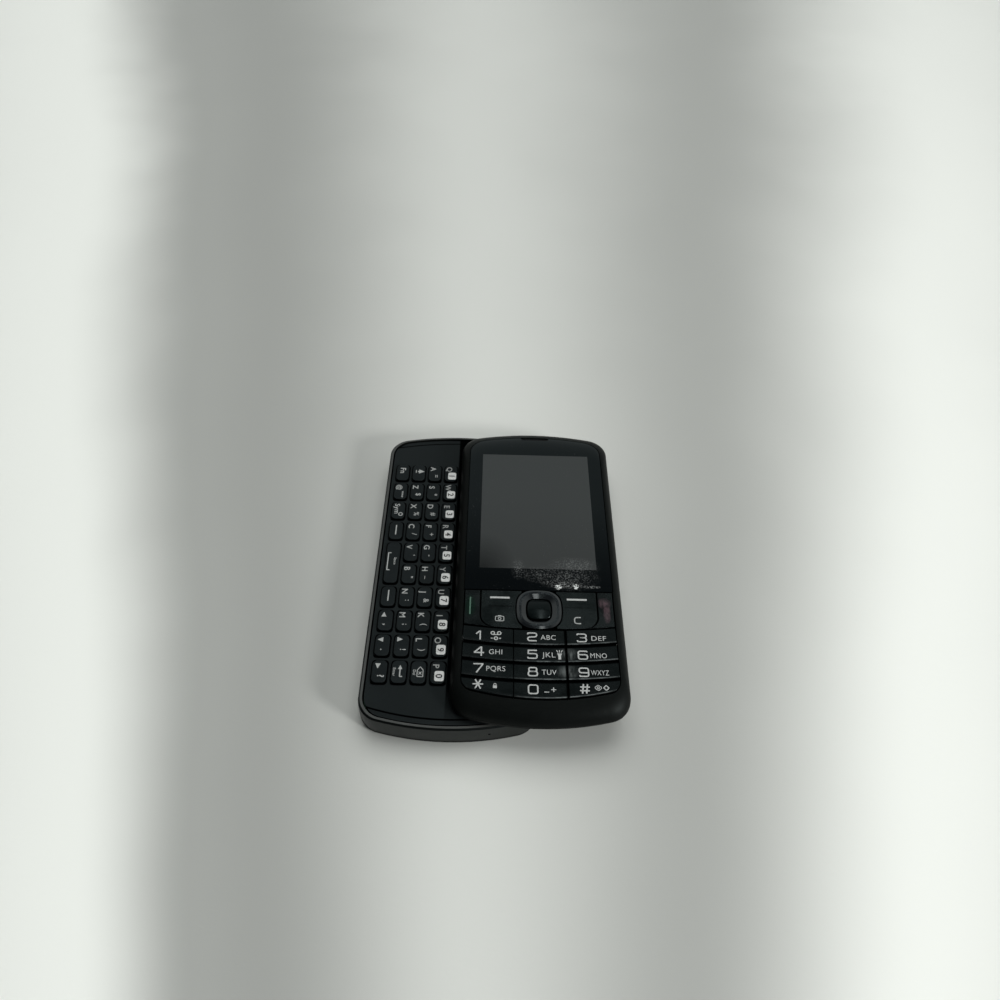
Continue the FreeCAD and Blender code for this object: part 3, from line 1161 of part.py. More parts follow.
def number_key(row, column):
    x_low, middle, x_high = column_span(column)
    sections = [cap_section(row, x) for x in (x_low - PAST, middle, x_high + PAST)]
    return number_cell(row, column).common(Part.makeLoft(sections, True))


def function_area(x_low, x_high):
    """Part of the key field above the number rows, between two lines along the phone."""
    bottom = bowed_line(ROW_LINES[0] + KEY_LINE / 2, (x_low, (x_low + x_high) / 2, x_high))
    high_left = Vector(x_low, FIELD_TOP_Y, Z_CAP_LOW)
    high_right = Vector(x_high, FIELD_TOP_Y, Z_CAP_LOW)
    edges = [arc(*bottom), Part.LineSegment(bottom[2], high_right).toShape()]
    edges.append(Part.LineSegment(high_right, high_left).toShape())
    edges.append(Part.LineSegment(high_left, bottom[0]).toShape())
    return Part.Wire(edges)


def function_prism(grow):
    """Right-hand function key with its large round outer corner, before the ring is cut."""
    shape = prism(function_area(RING_HALF - FUNCTION_TIP, CALL_SPLIT + grow), KEY_CAP_HEIGHT)
    corner = []
    for edge in shape.Edges:
        box = edge.BoundBox
        if box.ZLength > KEY_CAP_HEIGHT / 2 and box.XMin > CALL_SPLIT - PAST and box.YMax < RING_CENTRE_Y:
            corner.append(edge)
    return shape.makeFillet(FUNCTION_CORNER, corner)


def pivot_rib(x_low, x_high, z_seat):
    """Round rib across the underside of a rocking key, on its tilt axis, standing on a seat."""
    radius = Z_CAP_LOW - z_seat - PIVOT_GAP
    return Part.makeCylinder(radius, x_high - x_low, Vector(x_low, RING_CENTRE_Y, Z_CAP_LOW), Vector(1, 0, 0))


def right_function_key():
    shape = function_prism(0).cut(ring_gap_prism())
    cap = round_top_edges(shape.Solids[0], CAP_EDGE_ROUND)
    middle = (CALL_SPLIT + RING_HALF) / 2
    return cap.fuse(pivot_rib(middle - 2 * PAD_RADIUS, middle + 2 * PAD_RADIUS, Z_FRONT_WEB_TOP))


def right_end_key():
    shape = prism(function_area(CALL_SPLIT - FUNCTION_CORNER, FIELD_HALF_WIDTH), KEY_CAP_HEIGHT)
    shape = shape.cut(function_prism(KEY_LINE))
    return round_top_edges(shape.Solids[0], CAP_EDGE_ROUND)


def navigation_ring():
    def ring(half, z):
        return squircle(RING_CENTRE_Y, half, RING_SIDE_RADIUS, RING_CORNER * half / RING_HALF, z)
    body = prism(ring(RING_HALF, Z_CAP_LOW), KEY_CAP_HEIGHT)
    z_crest = Z_FRONT + RING_CREST
    crown = Part.makeLoft([ring(RING_HALF, Z_FRONT), ring(RING_HALF - RING_BEVEL, z_crest)], True, True)
    dish = Part.makeLoft([ring(RING_HOLE_HALF, Z_FRONT - RING_CREST), ring(RING_DISH_HALF, z_crest)], True,
                         True)
    hole = prism(squircle(RING_CENTRE_Y, RING_HOLE_HALF, OK_SIDE_RADIUS, OK_CORNER + KEY_LINE,
                          Z_CAP_LOW - PAST), KEY_CAP_HEIGHT + 2 * PAST)
    rib_reach = (RING_HOLE_HALF + RING_HALF) / 2 + PAD_RADIUS
    rib = pivot_rib(-rib_reach, rib_reach, Z_FRONT_PAD_TOP)
    return body.fuse([crown, rib]).cut([dish, hole])


def ok_key():
    shape = prism(squircle(RING_CENTRE_Y, OK_HALF, OK_SIDE_RADIUS, OK_CORNER, Z_CAP_LOW), KEY_CAP_HEIGHT)
    return round_top_edges(shape, 2 * CAP_EDGE_ROUND)


# ================================================================ assembly
def base_nodes():
    return {
        "base_frame": base_frame(),
        "keyboard_deck": keyboard_deck(),
        "rear_housing": rear_housing(),
        "battery_cover": battery_cover(),
        "battery": battery(),
        "battery_contacts": battery_contacts(),
        "sim_holder": sim_holder(),
        "main_board": main_board(),
        "shield_cans": shield_cans(),
        "qwerty_dome_sheet": qwerty_dome_sheet(),
        "qwerty_keymat": qwerty_keymat(),
        "qwerty_top_row_keys": keyboard_row(3),
        "qwerty_home_row_keys": keyboard_row(2),
        "qwerty_lower_row_keys": keyboard_row(1),
        "qwerty_bottom_row_keys": keyboard_row(0),
        "space_key": space_key(),
        "camera_module": camera_module(),
        "camera_window": camera_window(),
        "loudspeaker": loudspeaker(),
        "vibration_motor": vibration_motor(),
        "microphone": mic_body(),
        "antenna": antenna(),
        "headset_jack": headset_jack(),
        "usb_socket": usb_socket(),
        "volume_rocker": volume_rocker(),
        "camera_key": side_key(CAMERA_KEY_Y, CAMERA_KEY_LENGTH, 0),
        "slide_rail_plate": slide_rail_plate(),
        "flex_cable": flex_cable(),
        "slide_spring": slide_spring(),
        "base_screws": base_screws(),
    }


def slider_nodes():
    """The slider's parts, built about the closed position."""
    outer = slider_form(0, 0)
    inner = slider_form(SHELL_WALL, FACE_WALL)
    nodes = {
        "slider_front_housing": slider_front_housing(outer, inner),
        "slider_rear_housing": slider_rear_housing(outer),
        "moving_slide_plate": moving_slide_plate(),
        "display_window": display_window(outer),
        "display_module": display_module(),
        "display_frame": display_frame(),
        "slider_board": slider_board(),
        "keypad_dome_sheet": keypad_dome_sheet(),
        "keypad_mat": keypad_mat(),
        "earpiece": earpiece(),
        "earpiece_mesh": earpiece_mesh(outer),
        "slider_screws": slider_screws(),
        "right_function_key": right_function_key(),
        "left_function_key": mirrored(right_function_key()),
        "end_key": right_end_key(),
        "call_key": mirrored(right_end_key()),
        "navigation_ring": navigation_ring(),
        "ok_key": ok_key(),
    }
    names = (("key_1", "key_2", "key_3"), ("key_4", "key_5", "key_6"), ("key_7", "key_8", "key_9"),
             ("key_star", "key_0", "key_hash"))
    for row, row_names in enumerate(names):
        for column, name in zip((-1, 0, 1), row_names):
            nodes[name] = number_key(row, column)
    return nodes


def main():
    os.makedirs("parts", exist_ok=True)
    shapes = base_nodes()
    for name, shape in slider_nodes().items():
        shape.translate(OPEN)
        shapes[name] = shape
    for name, shape in shapes.items():
        if not shape.isValid():
            raise RuntimeError(name + " is not a valid shape")
        shape.exportStep("parts/" + name + ".step")
        print(name, len(shape.Solids), round(shape.Volume, 2))


main()
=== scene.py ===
"""Looks of a side-sliding keyboard phone: materials, printed legends, floor, light and camera."""

import json
import math

import bpy
from mathutils import Matrix, Vector
from mathutils.bvhtree import BVHTree


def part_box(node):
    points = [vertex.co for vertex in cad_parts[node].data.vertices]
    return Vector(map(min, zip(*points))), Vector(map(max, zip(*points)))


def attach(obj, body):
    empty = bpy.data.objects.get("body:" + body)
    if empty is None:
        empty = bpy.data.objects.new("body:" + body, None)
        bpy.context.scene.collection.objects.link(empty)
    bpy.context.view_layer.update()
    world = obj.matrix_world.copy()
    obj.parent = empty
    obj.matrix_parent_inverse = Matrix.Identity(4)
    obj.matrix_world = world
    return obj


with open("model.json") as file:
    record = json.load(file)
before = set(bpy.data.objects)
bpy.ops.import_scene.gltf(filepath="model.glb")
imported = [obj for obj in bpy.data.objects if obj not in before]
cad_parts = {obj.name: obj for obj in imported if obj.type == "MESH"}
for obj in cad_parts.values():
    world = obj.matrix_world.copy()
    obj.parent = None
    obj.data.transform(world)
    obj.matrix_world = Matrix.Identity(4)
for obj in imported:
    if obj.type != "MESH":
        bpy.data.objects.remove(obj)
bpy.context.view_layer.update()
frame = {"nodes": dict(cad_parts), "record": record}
NODES = frame["nodes"]
BODY_OF = {node: body for body, members in frame["record"]["behaviour"]["bodies"].items() for node in members}

MM = 0.001

# -------- camera and light
IMAGE_SIZE = 1000  # the picture is square
FOCAL_PIXELS = 800
SENSOR_MM = 36.0
CLIP_START = 0.01
CAMERA_PLACE = Vector((10.25, -152.7, 221.8)) * MM
CAMERA_PITCH = math.radians(49.71)  # below the horizon
CAMERA_TURN = math.radians(1.24)  # clockwise from +Y, seen from above
CAMERA_ROLL = math.radians(2.37)
FLOOR_HALF = 1.6  # metres
FLOOR_TINT = (0.98, 1.0, 0.945)
FLOOR_DRIFT = 0.008  # how far the bands wander, as a share of the whole fan
FAN_PLACE = (18.8, -414.6)  # the floor's broad painted bands of light and shade spread from here, mm
PAINTED_FLOOR_BANDS = (  # painted light and shade: metres sideways for each metre ahead of the fan's start, and how bright the paint is
    (-0.7, 0.45), (-0.35, 0.85), (-0.25, 0.36), (-0.2, 0.337),
    (-0.03, 0.608), (0.155, 0.365), (0.34, 0.79), (0.6, 0.45),
)
ROOM_COLOUR = (0.040, 0.050, 0.052)  # the dim studio overhead and behind the camera
WALL_COLOURS = ((0.30, 0.33, 0.33), (0.27, 0.30, 0.295))  # pale wall facing the camera, left and right
WALL_SPAN = (-0.04, 0.16)  # sideways share of a direction, over which the wall's colour changes
WALL_TOP = (0.76, 0.82)  # sine of the elevation where the wall dims
WALL_AHEAD = (0, 0.3)  # share of a direction that points ahead, over which the wall appears
SCREEN_COLOUR = (0.50, 0.52, 0.51)  # pale screens at both sides
SCREEN_EDGE = (0.26, 0.55)  # share of a direction that points sideways where they start
LEFT_SCREEN_SPAN = (-0.05, 0.45)  # the left one dims towards the camera
RIGHT_SCREEN_SPAN = (-0.9, 0.3)
TUBE_COLOUR = (3.5, 3.6, 3.55)  # long light overhead, a little to the right
TUBE_SPAN = (0.093, 0.125)  # its sideways shares of a direction
TUBE_REACH = (-0.4, 0.47)  # its shares ahead
TUBE_EDGE = 0.04  # how softly it ends
SOFTBOX_PLACE = Vector((0.72, -0.5, 0.42))
SOFTBOX_SIZE = 0.16
SOFTBOX_POWER = 5.6
BACK_PLACE = Vector((0.05, 0.84, 1.82))  # soft light from behind the phone, for the shade in front of it
BACK_SIZE = 1.8
BACK_POWER = 28.5

# -------- keyboard layout, mm
KEY_PITCH = (5.72, 8.72)  # across the phone and along it
FIRST_KEY = (-20.55, 38.5)  # middle of the first key of the bottom row
BOTTOM_ROW, LOWER_ROW, HOME_ROW, TOP_ROW = range(4)
SPACE_INDEX = 4.5  # where the space key stands in the bottom row
LANDSCAPE = -math.pi / 2  # keyboard legends read with the phone on its side
TOP_LETTERS = "QWERTYUIOP"
TOP_DIGITS = "1234567890"
HOME_LETTERS = "ASDFGHJKL"
HOME_SIGNS = "=*#+-_&()"
LOWER_LETTERS = "ZXCVBNM"
LOWER_SIGNS = "$%/'\":;"
LETTER_PLACE = (-2.0, -0.6)  # from the key's middle, along the row and up
SIGN_PLACE = (1.35, 0.6)
BOX_PLACE = (1.15, 0.42)
BOX_SIZE = (3.3, 2.8)
BOX_CORNER = 0.75
LETTER_HEIGHT = 1.95
LETTER_WEIGHT = 0.03  # how far each outline is moved outwards
SIGN_HEIGHT = 1.75
SIGN_WEIGHT = 0.02
MARK_HEIGHT = 2.1
MARK_WEIGHT = 0.04
BOXED_HEIGHT = 1.95
BOXED_WEIGHT = 0.05
WORD_HEIGHT = 0.85
WORD_WEIGHT = 0.01
ARROW_SIZE = 1.6

# -------- front key layout, mm
SLIDER_OPEN = 26.3  # the slider's middle in X with the phone open
DIGIT_SIZE = (2.62, 2.72)  # between the middles of the outer strokes
DIGIT_STROKE = 0.42
FRONT_LETTER_HEIGHT = 1.75
FRONT_LETTER_WEIGHT = -0.004
FRONT_LETTER_DROP = 0.05  # from the digit's middle to the letters'
DIGIT_X = (-17.85, -2.25, 12.4)  # middles of the digits of each column, from the slider's middle
FRONT_ROWS = (  # names of a row's keys and the middles of their digits
    ("123", (-30.6, -30.75, -30.75)),
    ("456", (-35.9, -36.55, -36.5)),
    ("789", (-41.3, -42.15, -42.0)),
    (("star", "0", "hash"), (-46.55, -47.65, -47.2)),
)
FRONT_LETTERS = {  # letters, their middle X and their width
    "2": ("ABC", 2.46, 4.5), "3": ("DEF", 17.4, 4.3), "4": ("GHI", -12.98, 3.85), "5": ("JKL", 2.45, 3.9),
    "6": ("MNO", 16.98, 4.8), "7": ("PQRS", -12.85, 5.45), "8": ("TUV", 2.44, 4.2), "9": ("WXYZ", 17.0, 5.2),
}

INK = 0.05  # thickness of a printed legend, mm
INK_SUNK = 0.02  # its underside lies this far in the key
INK_STEP = 0.25  # strokes bend to the surface at least this often, mm
RAY_START = 5  # rays for the surface start this far above the part, mm
ARC_STEPS = 6
CIRCLE_STEPS = 20
FONT_CAPITAL = 0.73  # height of a capital at font size 1
LETTER_SPACE = 1.08


# -------- node building blocks
class Field:
    """What a node puts out: a number, colour or vector that varies from place to place."""

    def __init__(self, socket):
        self.socket = socket

    def new(self, kind, operation=None, **inputs):
        return add_node(self.socket.id_data, kind, operation, **inputs)

    def math(self, operation, other=0.0):
        node = self.new("Math", operation)
        feed(node.inputs[0], self)
        feed(node.inputs[1], other)
        return Field(node.outputs["Value"])

    def __add__(self, other):
        return self.math("ADD", other)

    def __sub__(self, other):
        return self.math("SUBTRACT", other)

    def __mul__(self, other):
        return self.math("MULTIPLY", other)

    def __truediv__(self, other):
        return self.math("DIVIDE", other)

    def __pow__(self, other):
        return self.math("POWER", other)

    def __abs__(self):
        return self.math("ABSOLUTE")

    def ramp(self, low, high, to_low=0, to_high=1):
        """The field stretched from one range to another and kept inside it."""
        node = self.new("MapRange", Value=self, From_Min=low, From_Max=high, To_Min=to_low, To_Max=to_high)
        return Field(node.outputs["Result"])

    def between(self, low, high, soft):
        """1 between two limits, fading to 0 over a soft edge outside them."""
        return self.ramp(low - soft, low) * self.ramp(high, high + soft, 1, 0)


def add_node(tree, kind, operation=None, **inputs):
    """A new node, with fields or fixed values on its inputs."""
    node = tree.nodes.new("ShaderNode" + kind)
    if operation:
        node.operation = operation
    for name, value in inputs.items():
        feed(node.inputs[name.replace("_", " ")], value)
    return node


def feed(socket, value):
    """Put a field or a fixed value on a socket."""
    if isinstance(value, Field):
        socket.id_data.links.new(value.socket, socket)
    elif socket.type == "RGBA":
        socket.default_value = (*value, 1)
    else:
        socket.default_value = value


def blend(factor, first, second):
    """Mix of two colours; either may be a fixed colour or a field."""
    node = factor.new("Mix", Factor=factor)
    node.data_type = "RGBA"
    colours = [socket for socket in node.inputs if socket.type == "RGBA"]
    for socket, value in zip(colours, (first, second)):
        feed(socket, value)
    return Field([socket for socket in node.outputs if socket.type == "RGBA"][0])


def strongest(masks):
    result = masks[0]
    for mask in masks[1:]:
        result = result.math("MAXIMUM", mask)
    return result


def axes(vector):
    split = vector.new("SeparateXYZ", Vector=vector)
    return [Field(split.outputs[axis]) for axis in "XYZ"]


def place_on_object(tree):
    return Field(add_node(tree, "TexCoord").outputs["Object"])


def facing(tree):
    """Where the surface faces: the three parts of its normal."""
    return axes(Field(add_node(tree, "NewGeometry").outputs["Normal"]))


def noise(tree, scale, detail=3.0, roughness=0.55, stretch=None):
    """Noise in object space; stretch scales each axis, for brushed or drawn surfaces."""
    place = place_on_object(tree)
    if stretch:
        place = Field(add_node(tree, "Mapping", Scale=stretch, Vector=place).outputs["Vector"])
    texture = add_node(tree, "TexNoise", Vector=place, Scale=scale, Detail=detail, Roughness=roughness)
    return Field(texture.outputs["Fac"])


def plan_distance(vector, x=0.0, y=0.0):
    """Distance from an upright line through a place of the plan."""
    flat = vector.new("VectorMath", "MULTIPLY")
    feed(flat.inputs[0], vector)
    feed(flat.inputs[1], (1, 1, 0))
    distance = vector.new("VectorMath", "DISTANCE")
    feed(distance.inputs[0], Field(flat.outputs["Vector"]))
    feed(distance.inputs[1], (x, y, 0))
    return Field(distance.outputs["Value"])


def box_mask(tree, low, high, soft):
    """1 inside an upright box of the open phone, fading over a soft edge, in metres."""
    x, y, _ = axes(place_on_object(tree))
    return x.between(low[0], high[0], soft) * y.between(low[1], high[1], soft)


def blob_mask(tree, place, half_x, half_y, solid):
    """1 in the solid share of an ellipse, fading to its edge; placed from the open slider's middle, in mm."""
    middle = ((SLIDER_OPEN + place[0]) * MM, place[1] * MM, 0)
    size = (half_x * MM, half_y * MM, 1)
    mapping = add_node(tree, "Mapping", Vector=place_on_object(tree), Location=middle, Scale=size)
    mapping.vector_type = "TEXTURE"
    return plan_distance(Field(mapping.outputs["Vector"])).ramp(solid, 1, 1, 0)


def tint(colour, factor):
    return tuple(min(1.0, part * factor) for part in colour)


# -------- kinds of finish
COOL_SHEEN = (0.84, 1.0, 1.01)  # reflections of the black plastics
SHELL_SHEEN = (0.89, 1.0, 0.97)
HANDLING_SCALE = 45.0  # patches a couple of centimetres across
HANDLING_RANGE = (0.35, 0.65)
PLASTIC_DRIFT = (0.05, 0.12)  # how far roughness and colour drift from patch to patch
METAL_DRIFT = (0.06, 0.1)


def new_material(name, colour, roughness, specular=0.5, sheen=(1, 1, 1), metallic=0.0, coat=0.0):
    """A material, its node tree and the inputs of its Principled shader."""
    material = bpy.data.materials.new(name)
    material.use_nodes = True
    inputs = material.node_tree.nodes["Principled BSDF"].inputs
    feed(inputs["Base Color"], colour)
    feed(inputs["Roughness"], roughness)
    feed(inputs["Metallic"], metallic)
    feed(inputs["Specular IOR Level"], specular)
    feed(inputs["Specular Tint"], sheen)
    feed(inputs["Coat Weight"], coat)
    return material, material.node_tree, inputs


def add_bump(inputs, height, distance):
    bump = height.new("Bump", Height=height, Distance=distance)
    feed(inputs["Normal"], Field(bump.outputs["Normal"]))


def patches(tree, scale=HANDLING_SCALE, low=0, high=1, detail=4.0):
    """Worn and clean patches."""
    return noise(tree, scale, detail).ramp(*HANDLING_RANGE, low, high)


def handled(tree, inputs, colour, roughness, spread, colour_spread):
    """Colour and roughness that drift over centimetres."""
    feed(inputs["Roughness"], patches(tree, HANDLING_SCALE, roughness - spread, roughness + spread))
    worn = patches(tree, HANDLING_SCALE * 2, detail=5.0)
    feed(inputs["Base Color"], blend(worn, tint(colour, 1 - colour_spread), tint(colour, 1 + colour_spread)))


def moulded_plastic(name, colour, roughness, scale, depth, specular=0.5, coat=0.0, sheen=(1, 1, 1)):
    """Moulded or painted plastic with a fine grain, whose depth is in mm."""
    material, tree, inputs = new_material(name, colour, roughness, specular, sheen, coat=coat)
    handled(tree, inputs, colour, roughness, *PLASTIC_DRIFT)
    add_bump(inputs, noise(tree, scale, 2.0), depth * MM)
    return material


def worked_metal(name, colour, roughness, stretch, scale, depth):
    """Metal with drawn or brushed lines, whose depth is in mm."""
    material, tree, inputs = new_material(name, colour, roughness, metallic=1.0)
    handled(tree, inputs, colour, roughness, *METAL_DRIFT)
    add_bump(inputs, noise(tree, scale, 2.0, stretch=stretch), depth * MM)
    return material


# -------- materials of the shells
RIM_FLAT = 0.05  # depth of the rim's flat top in the mask of its painted highlight, mm
RIM_CHAMFER = 0.5
PAINT_GRAIN = 5200.0
PAINT_DEPTH = 0.006 * MM


def band_material():
    """Satin dark paint round the base: a painted highlight on the rim's flat top, patchy with wear, and
    painted shade in a black line along the chamfer under it.
    """
    paint, rim_highlight, shade = (0.0108, 0.0114, 0.0104), (0.056, 0.058, 0.055), (0.0018, 0.002, 0.0018)
    material, tree, inputs = new_material("band_paint", paint, 0.44, 0.2, COOL_SHEEN)
    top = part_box("base_frame")[1].z
    height = axes(place_on_object(tree))[2]
    worn = noise(tree, 160.0, 4.0).ramp(0.3, 0.7, 0.75, 1.0)
    # painted highlight: where the rim's flat top faces up it is made paler, patchy with wear
    flat = height.ramp(top - 2 * RIM_FLAT * MM, top - RIM_FLAT * MM) * worn * facing(tree)[2].ramp(0.9, 0.97)
    # painted shade: the chamfer under the rim is made black, as a shaded groove
    chamfer = height.ramp(top - (RIM_CHAMFER + RIM_FLAT) * MM, top - RIM_CHAMFER * MM)
    feed(inputs["Base Color"], blend(flat, blend(chamfer, paint, shade), rim_highlight))
    feed(inputs["Roughness"], patches(tree, HANDLING_SCALE, 0.36, 0.48))
    add_bump(inputs, noise(tree, PAINT_GRAIN, 2.0), PAINT_DEPTH)
    return material


CRESCENT_RADII = (100.0, 82.0)  # edges of the deck's lowered ends, at the top and at the chin, mm
CRESCENT_WIDTHS = (1.85, 1.6)
CRESCENT_LINES = (0.26, 0.15)  # half widths of the dark lines along those edges
CRESCENT_FADE = 1.8  # where a line ends, in half widths


def crescent_mask(tree):
    """1 in dark lines along the steps that bound the deck's lowered ends."""
    low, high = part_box("keyboard_deck")
    edges = (high.y - CRESCENT_WIDTHS[0] * MM, low.y + CRESCENT_WIDTHS[1] * MM)
    lines = []
    for edge, radius, half, side in zip(edges, CRESCENT_RADII, CRESCENT_LINES, (-1, 1)):
        distance = plan_distance(place_on_object(tree), 0, edge + side * radius * MM)
        lines.append(abs(distance - radius * MM).ramp(half * MM, CRESCENT_FADE * half * MM, 1, 0))
    return strongest(lines)


KEY_SHADE_HALF = (2.5, 3.95)  # half sizes of the painted shade in the deck round each key, mm
KEY_SHADE_POWER = 6  # how square the corners of that painted shade are
KEY_SHADE_FADE = 1.4  # where the painted shade has faded out; it is full at 1
UNDER_SLIDER = 1.0  # painted shadow of the slider: a black strip of the deck beside it, mm
UNDER_SLIDER_FADE = 0.4
SLIDER_CORNER = 12.0  # the painted shadow fades out towards the slider's chin


def key_gap_shade_mask(tree):
    """1 in the painted shade round the keyboard keys, which repeats with the key pitch."""
    shares = []
    for value, pitch, first, half in zip(axes(place_on_object(tree)), KEY_PITCH, FIRST_KEY, KEY_SHADE_HALF):
        off = (value - first * MM).math("PINGPONG", pitch / 2 * MM)
        shares.append((off / (half * MM)) ** KEY_SHADE_POWER)
    left = FIRST_KEY[0] - KEY_PITCH[0] / 2
    bottom = FIRST_KEY[1] - (len(TOP_LETTERS) - 0.5) * KEY_PITCH[1]
    top = FIRST_KEY[1] + KEY_PITCH[1] / 2
    keys = box_mask(tree, (left * MM, bottom * MM), (0, top * MM), 0.01 * MM)
    return keys * (shares[0] + shares[1]).ramp(1, KEY_SHADE_FADE, 1, 0)


def deck_material():
    """Fine matt deck with painted shade: black on its steep faces and round its keys, a painted shadow beside
    the slider, and dark lines along its end steps.
    """
    paint, shade, specular = (0.0068, 0.0083, 0.0086), (0.0006, 0.0007, 0.0007), 0.17
    material, tree, inputs = new_material("deck_paint", paint, 0.5, specular, COOL_SHEEN)
    worn = patches(tree)
    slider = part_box("slider_front_housing")[0]
    # painted shadow of the slider: a black strip of the deck along its edge
    strip = box_mask(tree, (slider.x - UNDER_SLIDER * MM, -1), (1, 1), UNDER_SLIDER_FADE * MM)
    strip = strip * axes(place_on_object(tree))[1].ramp(slider.y, slider.y + SLIDER_CORNER * MM)
    # black gathers the painted shade round the keys, the slider's painted shadow and the dark lines along the
    # steps
    black = strongest([crescent_mask(tree), key_gap_shade_mask(tree), strip])
    # painted shade: faces that do not face up, the walls of the openings among them, take the near-black
    # shade colour and lose their reflection
    upward = facing(tree)[2].ramp(0.3, 0.9)
    top = blend(black, blend(worn, tint(paint, 0.9), tint(paint, 1.12)), shade)
    feed(inputs["Base Color"], blend(upward, shade, top))
    feed(inputs["Specular IOR Level"], (upward * black.ramp(0, 1, 1, 0)).ramp(0, 1, 0, specular))
    feed(inputs["Roughness"], worn.ramp(0, 1, 0.44, 0.54))
    add_bump(inputs, noise(tree, PAINT_GRAIN, 2.0), PAINT_DEPTH)
    return material


def keyboard_key_material():
    """Keyboard keys: matt tops, and painted shade that makes their steep sides near black."""
    paint, side, specular = (0.0056, 0.007, 0.0075), (0.0004, 0.0005, 0.0005), 0.2
    material, tree, inputs = new_material("keyboard_key_paint", paint, 0.46, specular, COOL_SHEEN)
    worn = patches(tree, HANDLING_SCALE * 3)
    # painted shade: faces that do not face up take the near-black side colour and little reflection
    upward = facing(tree)[2].ramp(0.72, 0.96)
    feed(inputs["Base Color"], blend(upward, side, blend(worn, tint(paint, 0.88), tint(paint, 1.15))))
    feed(inputs["Specular IOR Level"], upward.ramp(0, 1, 0.1 * specular, specular))
    feed(inputs["Roughness"], worn.ramp(0, 1, 0.40, 0.52))
    add_bump(inputs, noise(tree, 4600.0, 2.0), PAINT_DEPTH)
    return material


def slider_material():
    """Satin black shell of the slider, with its reflection turned down on faces towards the left as painted
    shade.
    """
    paint = (0.0021, 0.0025, 0.0023)
    material = moulded_plastic("slider_paint", paint, 0.48, 4800.0, 0.005, sheen=SHELL_SHEEN)
    inputs = material.node_tree.nodes["Principled BSDF"].inputs
    # painted shade: less reflection on faces that point left
    feed(inputs["Specular IOR Level"], facing(material.node_tree)[0].ramp(-0.75, -0.2, 0.03, 0.11))
    return material


def grille_material():
    """Dark woven mesh over the earpiece."""
    material, tree, inputs = new_material("grille_cloth", (0.004, 0.004, 0.0042), 0.5, 0.3)
    weave = add_node(tree, "TexChecker", Vector=place_on_object(tree), Scale=6500.0,
                     Color1=(0.0015, 0.0015, 0.0016), Color2=(0.012, 0.012, 0.0125))
    feed(inputs["Base Color"], Field(weave.outputs["Color"]))
    add_bump(inputs, Field(weave.outputs["Fac"]), 0.03 * MM)
    return material


# -------- the window and what is inside
DUST_HAZE = (  # dust wiped over the window's lower corner: places from the slider's middle and half sizes, mm
    ((9.5, -9.6), 10.5, 5.4), ((1.2, -8.4), 7.5, 3.6), ((-6.2, -6.6), 2.6, 4.4), ((11.5, -5.0), 9.0, 4.0),
)
DUST_HAZE_SHARE = 0.17
DUST_HEAPS = (  # the same, and how much dust lies there
    ((6.1, -13.0), 1.25, 0.95, 2.4), ((11.6, -12.7), 1.0, 1.1, 1.9), ((16.6, -12.75), 3.2, 0.6, 0.26),
    ((8.6, -12.3), 6.2, 1.5, 0.16), ((3.2, -11.4), 3.2, 1.0, 0.06),
)
DUST_GRAIN = 2400.0
DUST_COLOUR = (0.62, 0.64, 0.62)
ACTIVE_HALF_WIDTH = 18.4  # the display's grey field, mm
ACTIVE_TOP = 42.76
ACTIVE_BOTTOM = -6.24
FIELD_SHADE = ((-17.5, -7.5), 11.0, 15.0)  # painted shade over its lower corner, from the slider's middle


def window_material():
    """Gloss black window: the display's grey field under it with painted shade over its lower corner, and
    dust wiped over that corner.
    """
    black, field = (0.0016, 0.002, 0.0024), (0.036, 0.038, 0.0375)
    material, tree, inputs = new_material("window_gloss", black, 0.06, 0.36, COOL_SHEEN)
    low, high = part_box("display_module")
    middle_x = (low.x + high.x) / 2
    active_low = (middle_x - ACTIVE_HALF_WIDTH * MM, ACTIVE_BOTTOM * MM)
    active_high = (middle_x + ACTIVE_HALF_WIDTH * MM, ACTIVE_TOP * MM)
    # painted shade: the display's grey field is darker towards its lower corner
    shaded = blend(blob_mask(tree, *FIELD_SHADE, 0.1), field, tint(field, 0.35))
    grey = blend(box_mask(tree, active_low, active_high, 0.06 * MM), black, shaded)
    patchy = noise(tree, 420.0, 4.0, 0.6).ramp(0.32, 0.62, 0.45, 1)
    haze = strongest([blob_mask(tree, *blob, 0.3) for blob in DUST_HAZE]) * patchy
    heaps = [blob_mask(tree, *blob, 0.4) * share for *blob, share in DUST_HEAPS]
    grain = noise(tree, DUST_GRAIN, 1.0, 0.6)
    dust = haze * DUST_HAZE_SHARE * grain.ramp(0.4, 0.75) ** 1.6 + strongest(heaps) * grain.ramp(0.42, 0.62)
    stray = noise(tree, 3400.0, 1.0).ramp(0.74, 0.8, 0, 0.15) * noise(tree, 60.0, 2.0).ramp(0.45, 0.6)
    feed(inputs["Base Color"], blend(strongest([dust, stray]), grey, DUST_COLOUR))
    feed(inputs["Roughness"], haze.ramp(0, 1, 0.06, 0.16))
    return material


def board_material():
    """Green solder mask over faint copper tracks."""
    mask, track = (0.002, 0.022, 0.010), (0.008, 0.05, 0.02)
    material, tree, inputs = new_material("circuit_board", mask, 0.35, coat=0.4)
    tracks = add_node(tree, "TexBrick", Vector=place_on_object(tree), Scale=420.0, Mortar_Size=0.035,
                      Color1=(0, 0, 0), Color2=(0.25, 0.25, 0.25), Mortar=(1, 1, 1))
    feed(inputs["Base Color"], blend(Field(tracks.outputs["Color"]), mask, track))
    add_bump(inputs, Field(tracks.outputs["Fac"]), 0.02 * MM)
    return material


WRAP_STRIPE = (12, 8)  # from the battery's end to the stripe's edges, mm


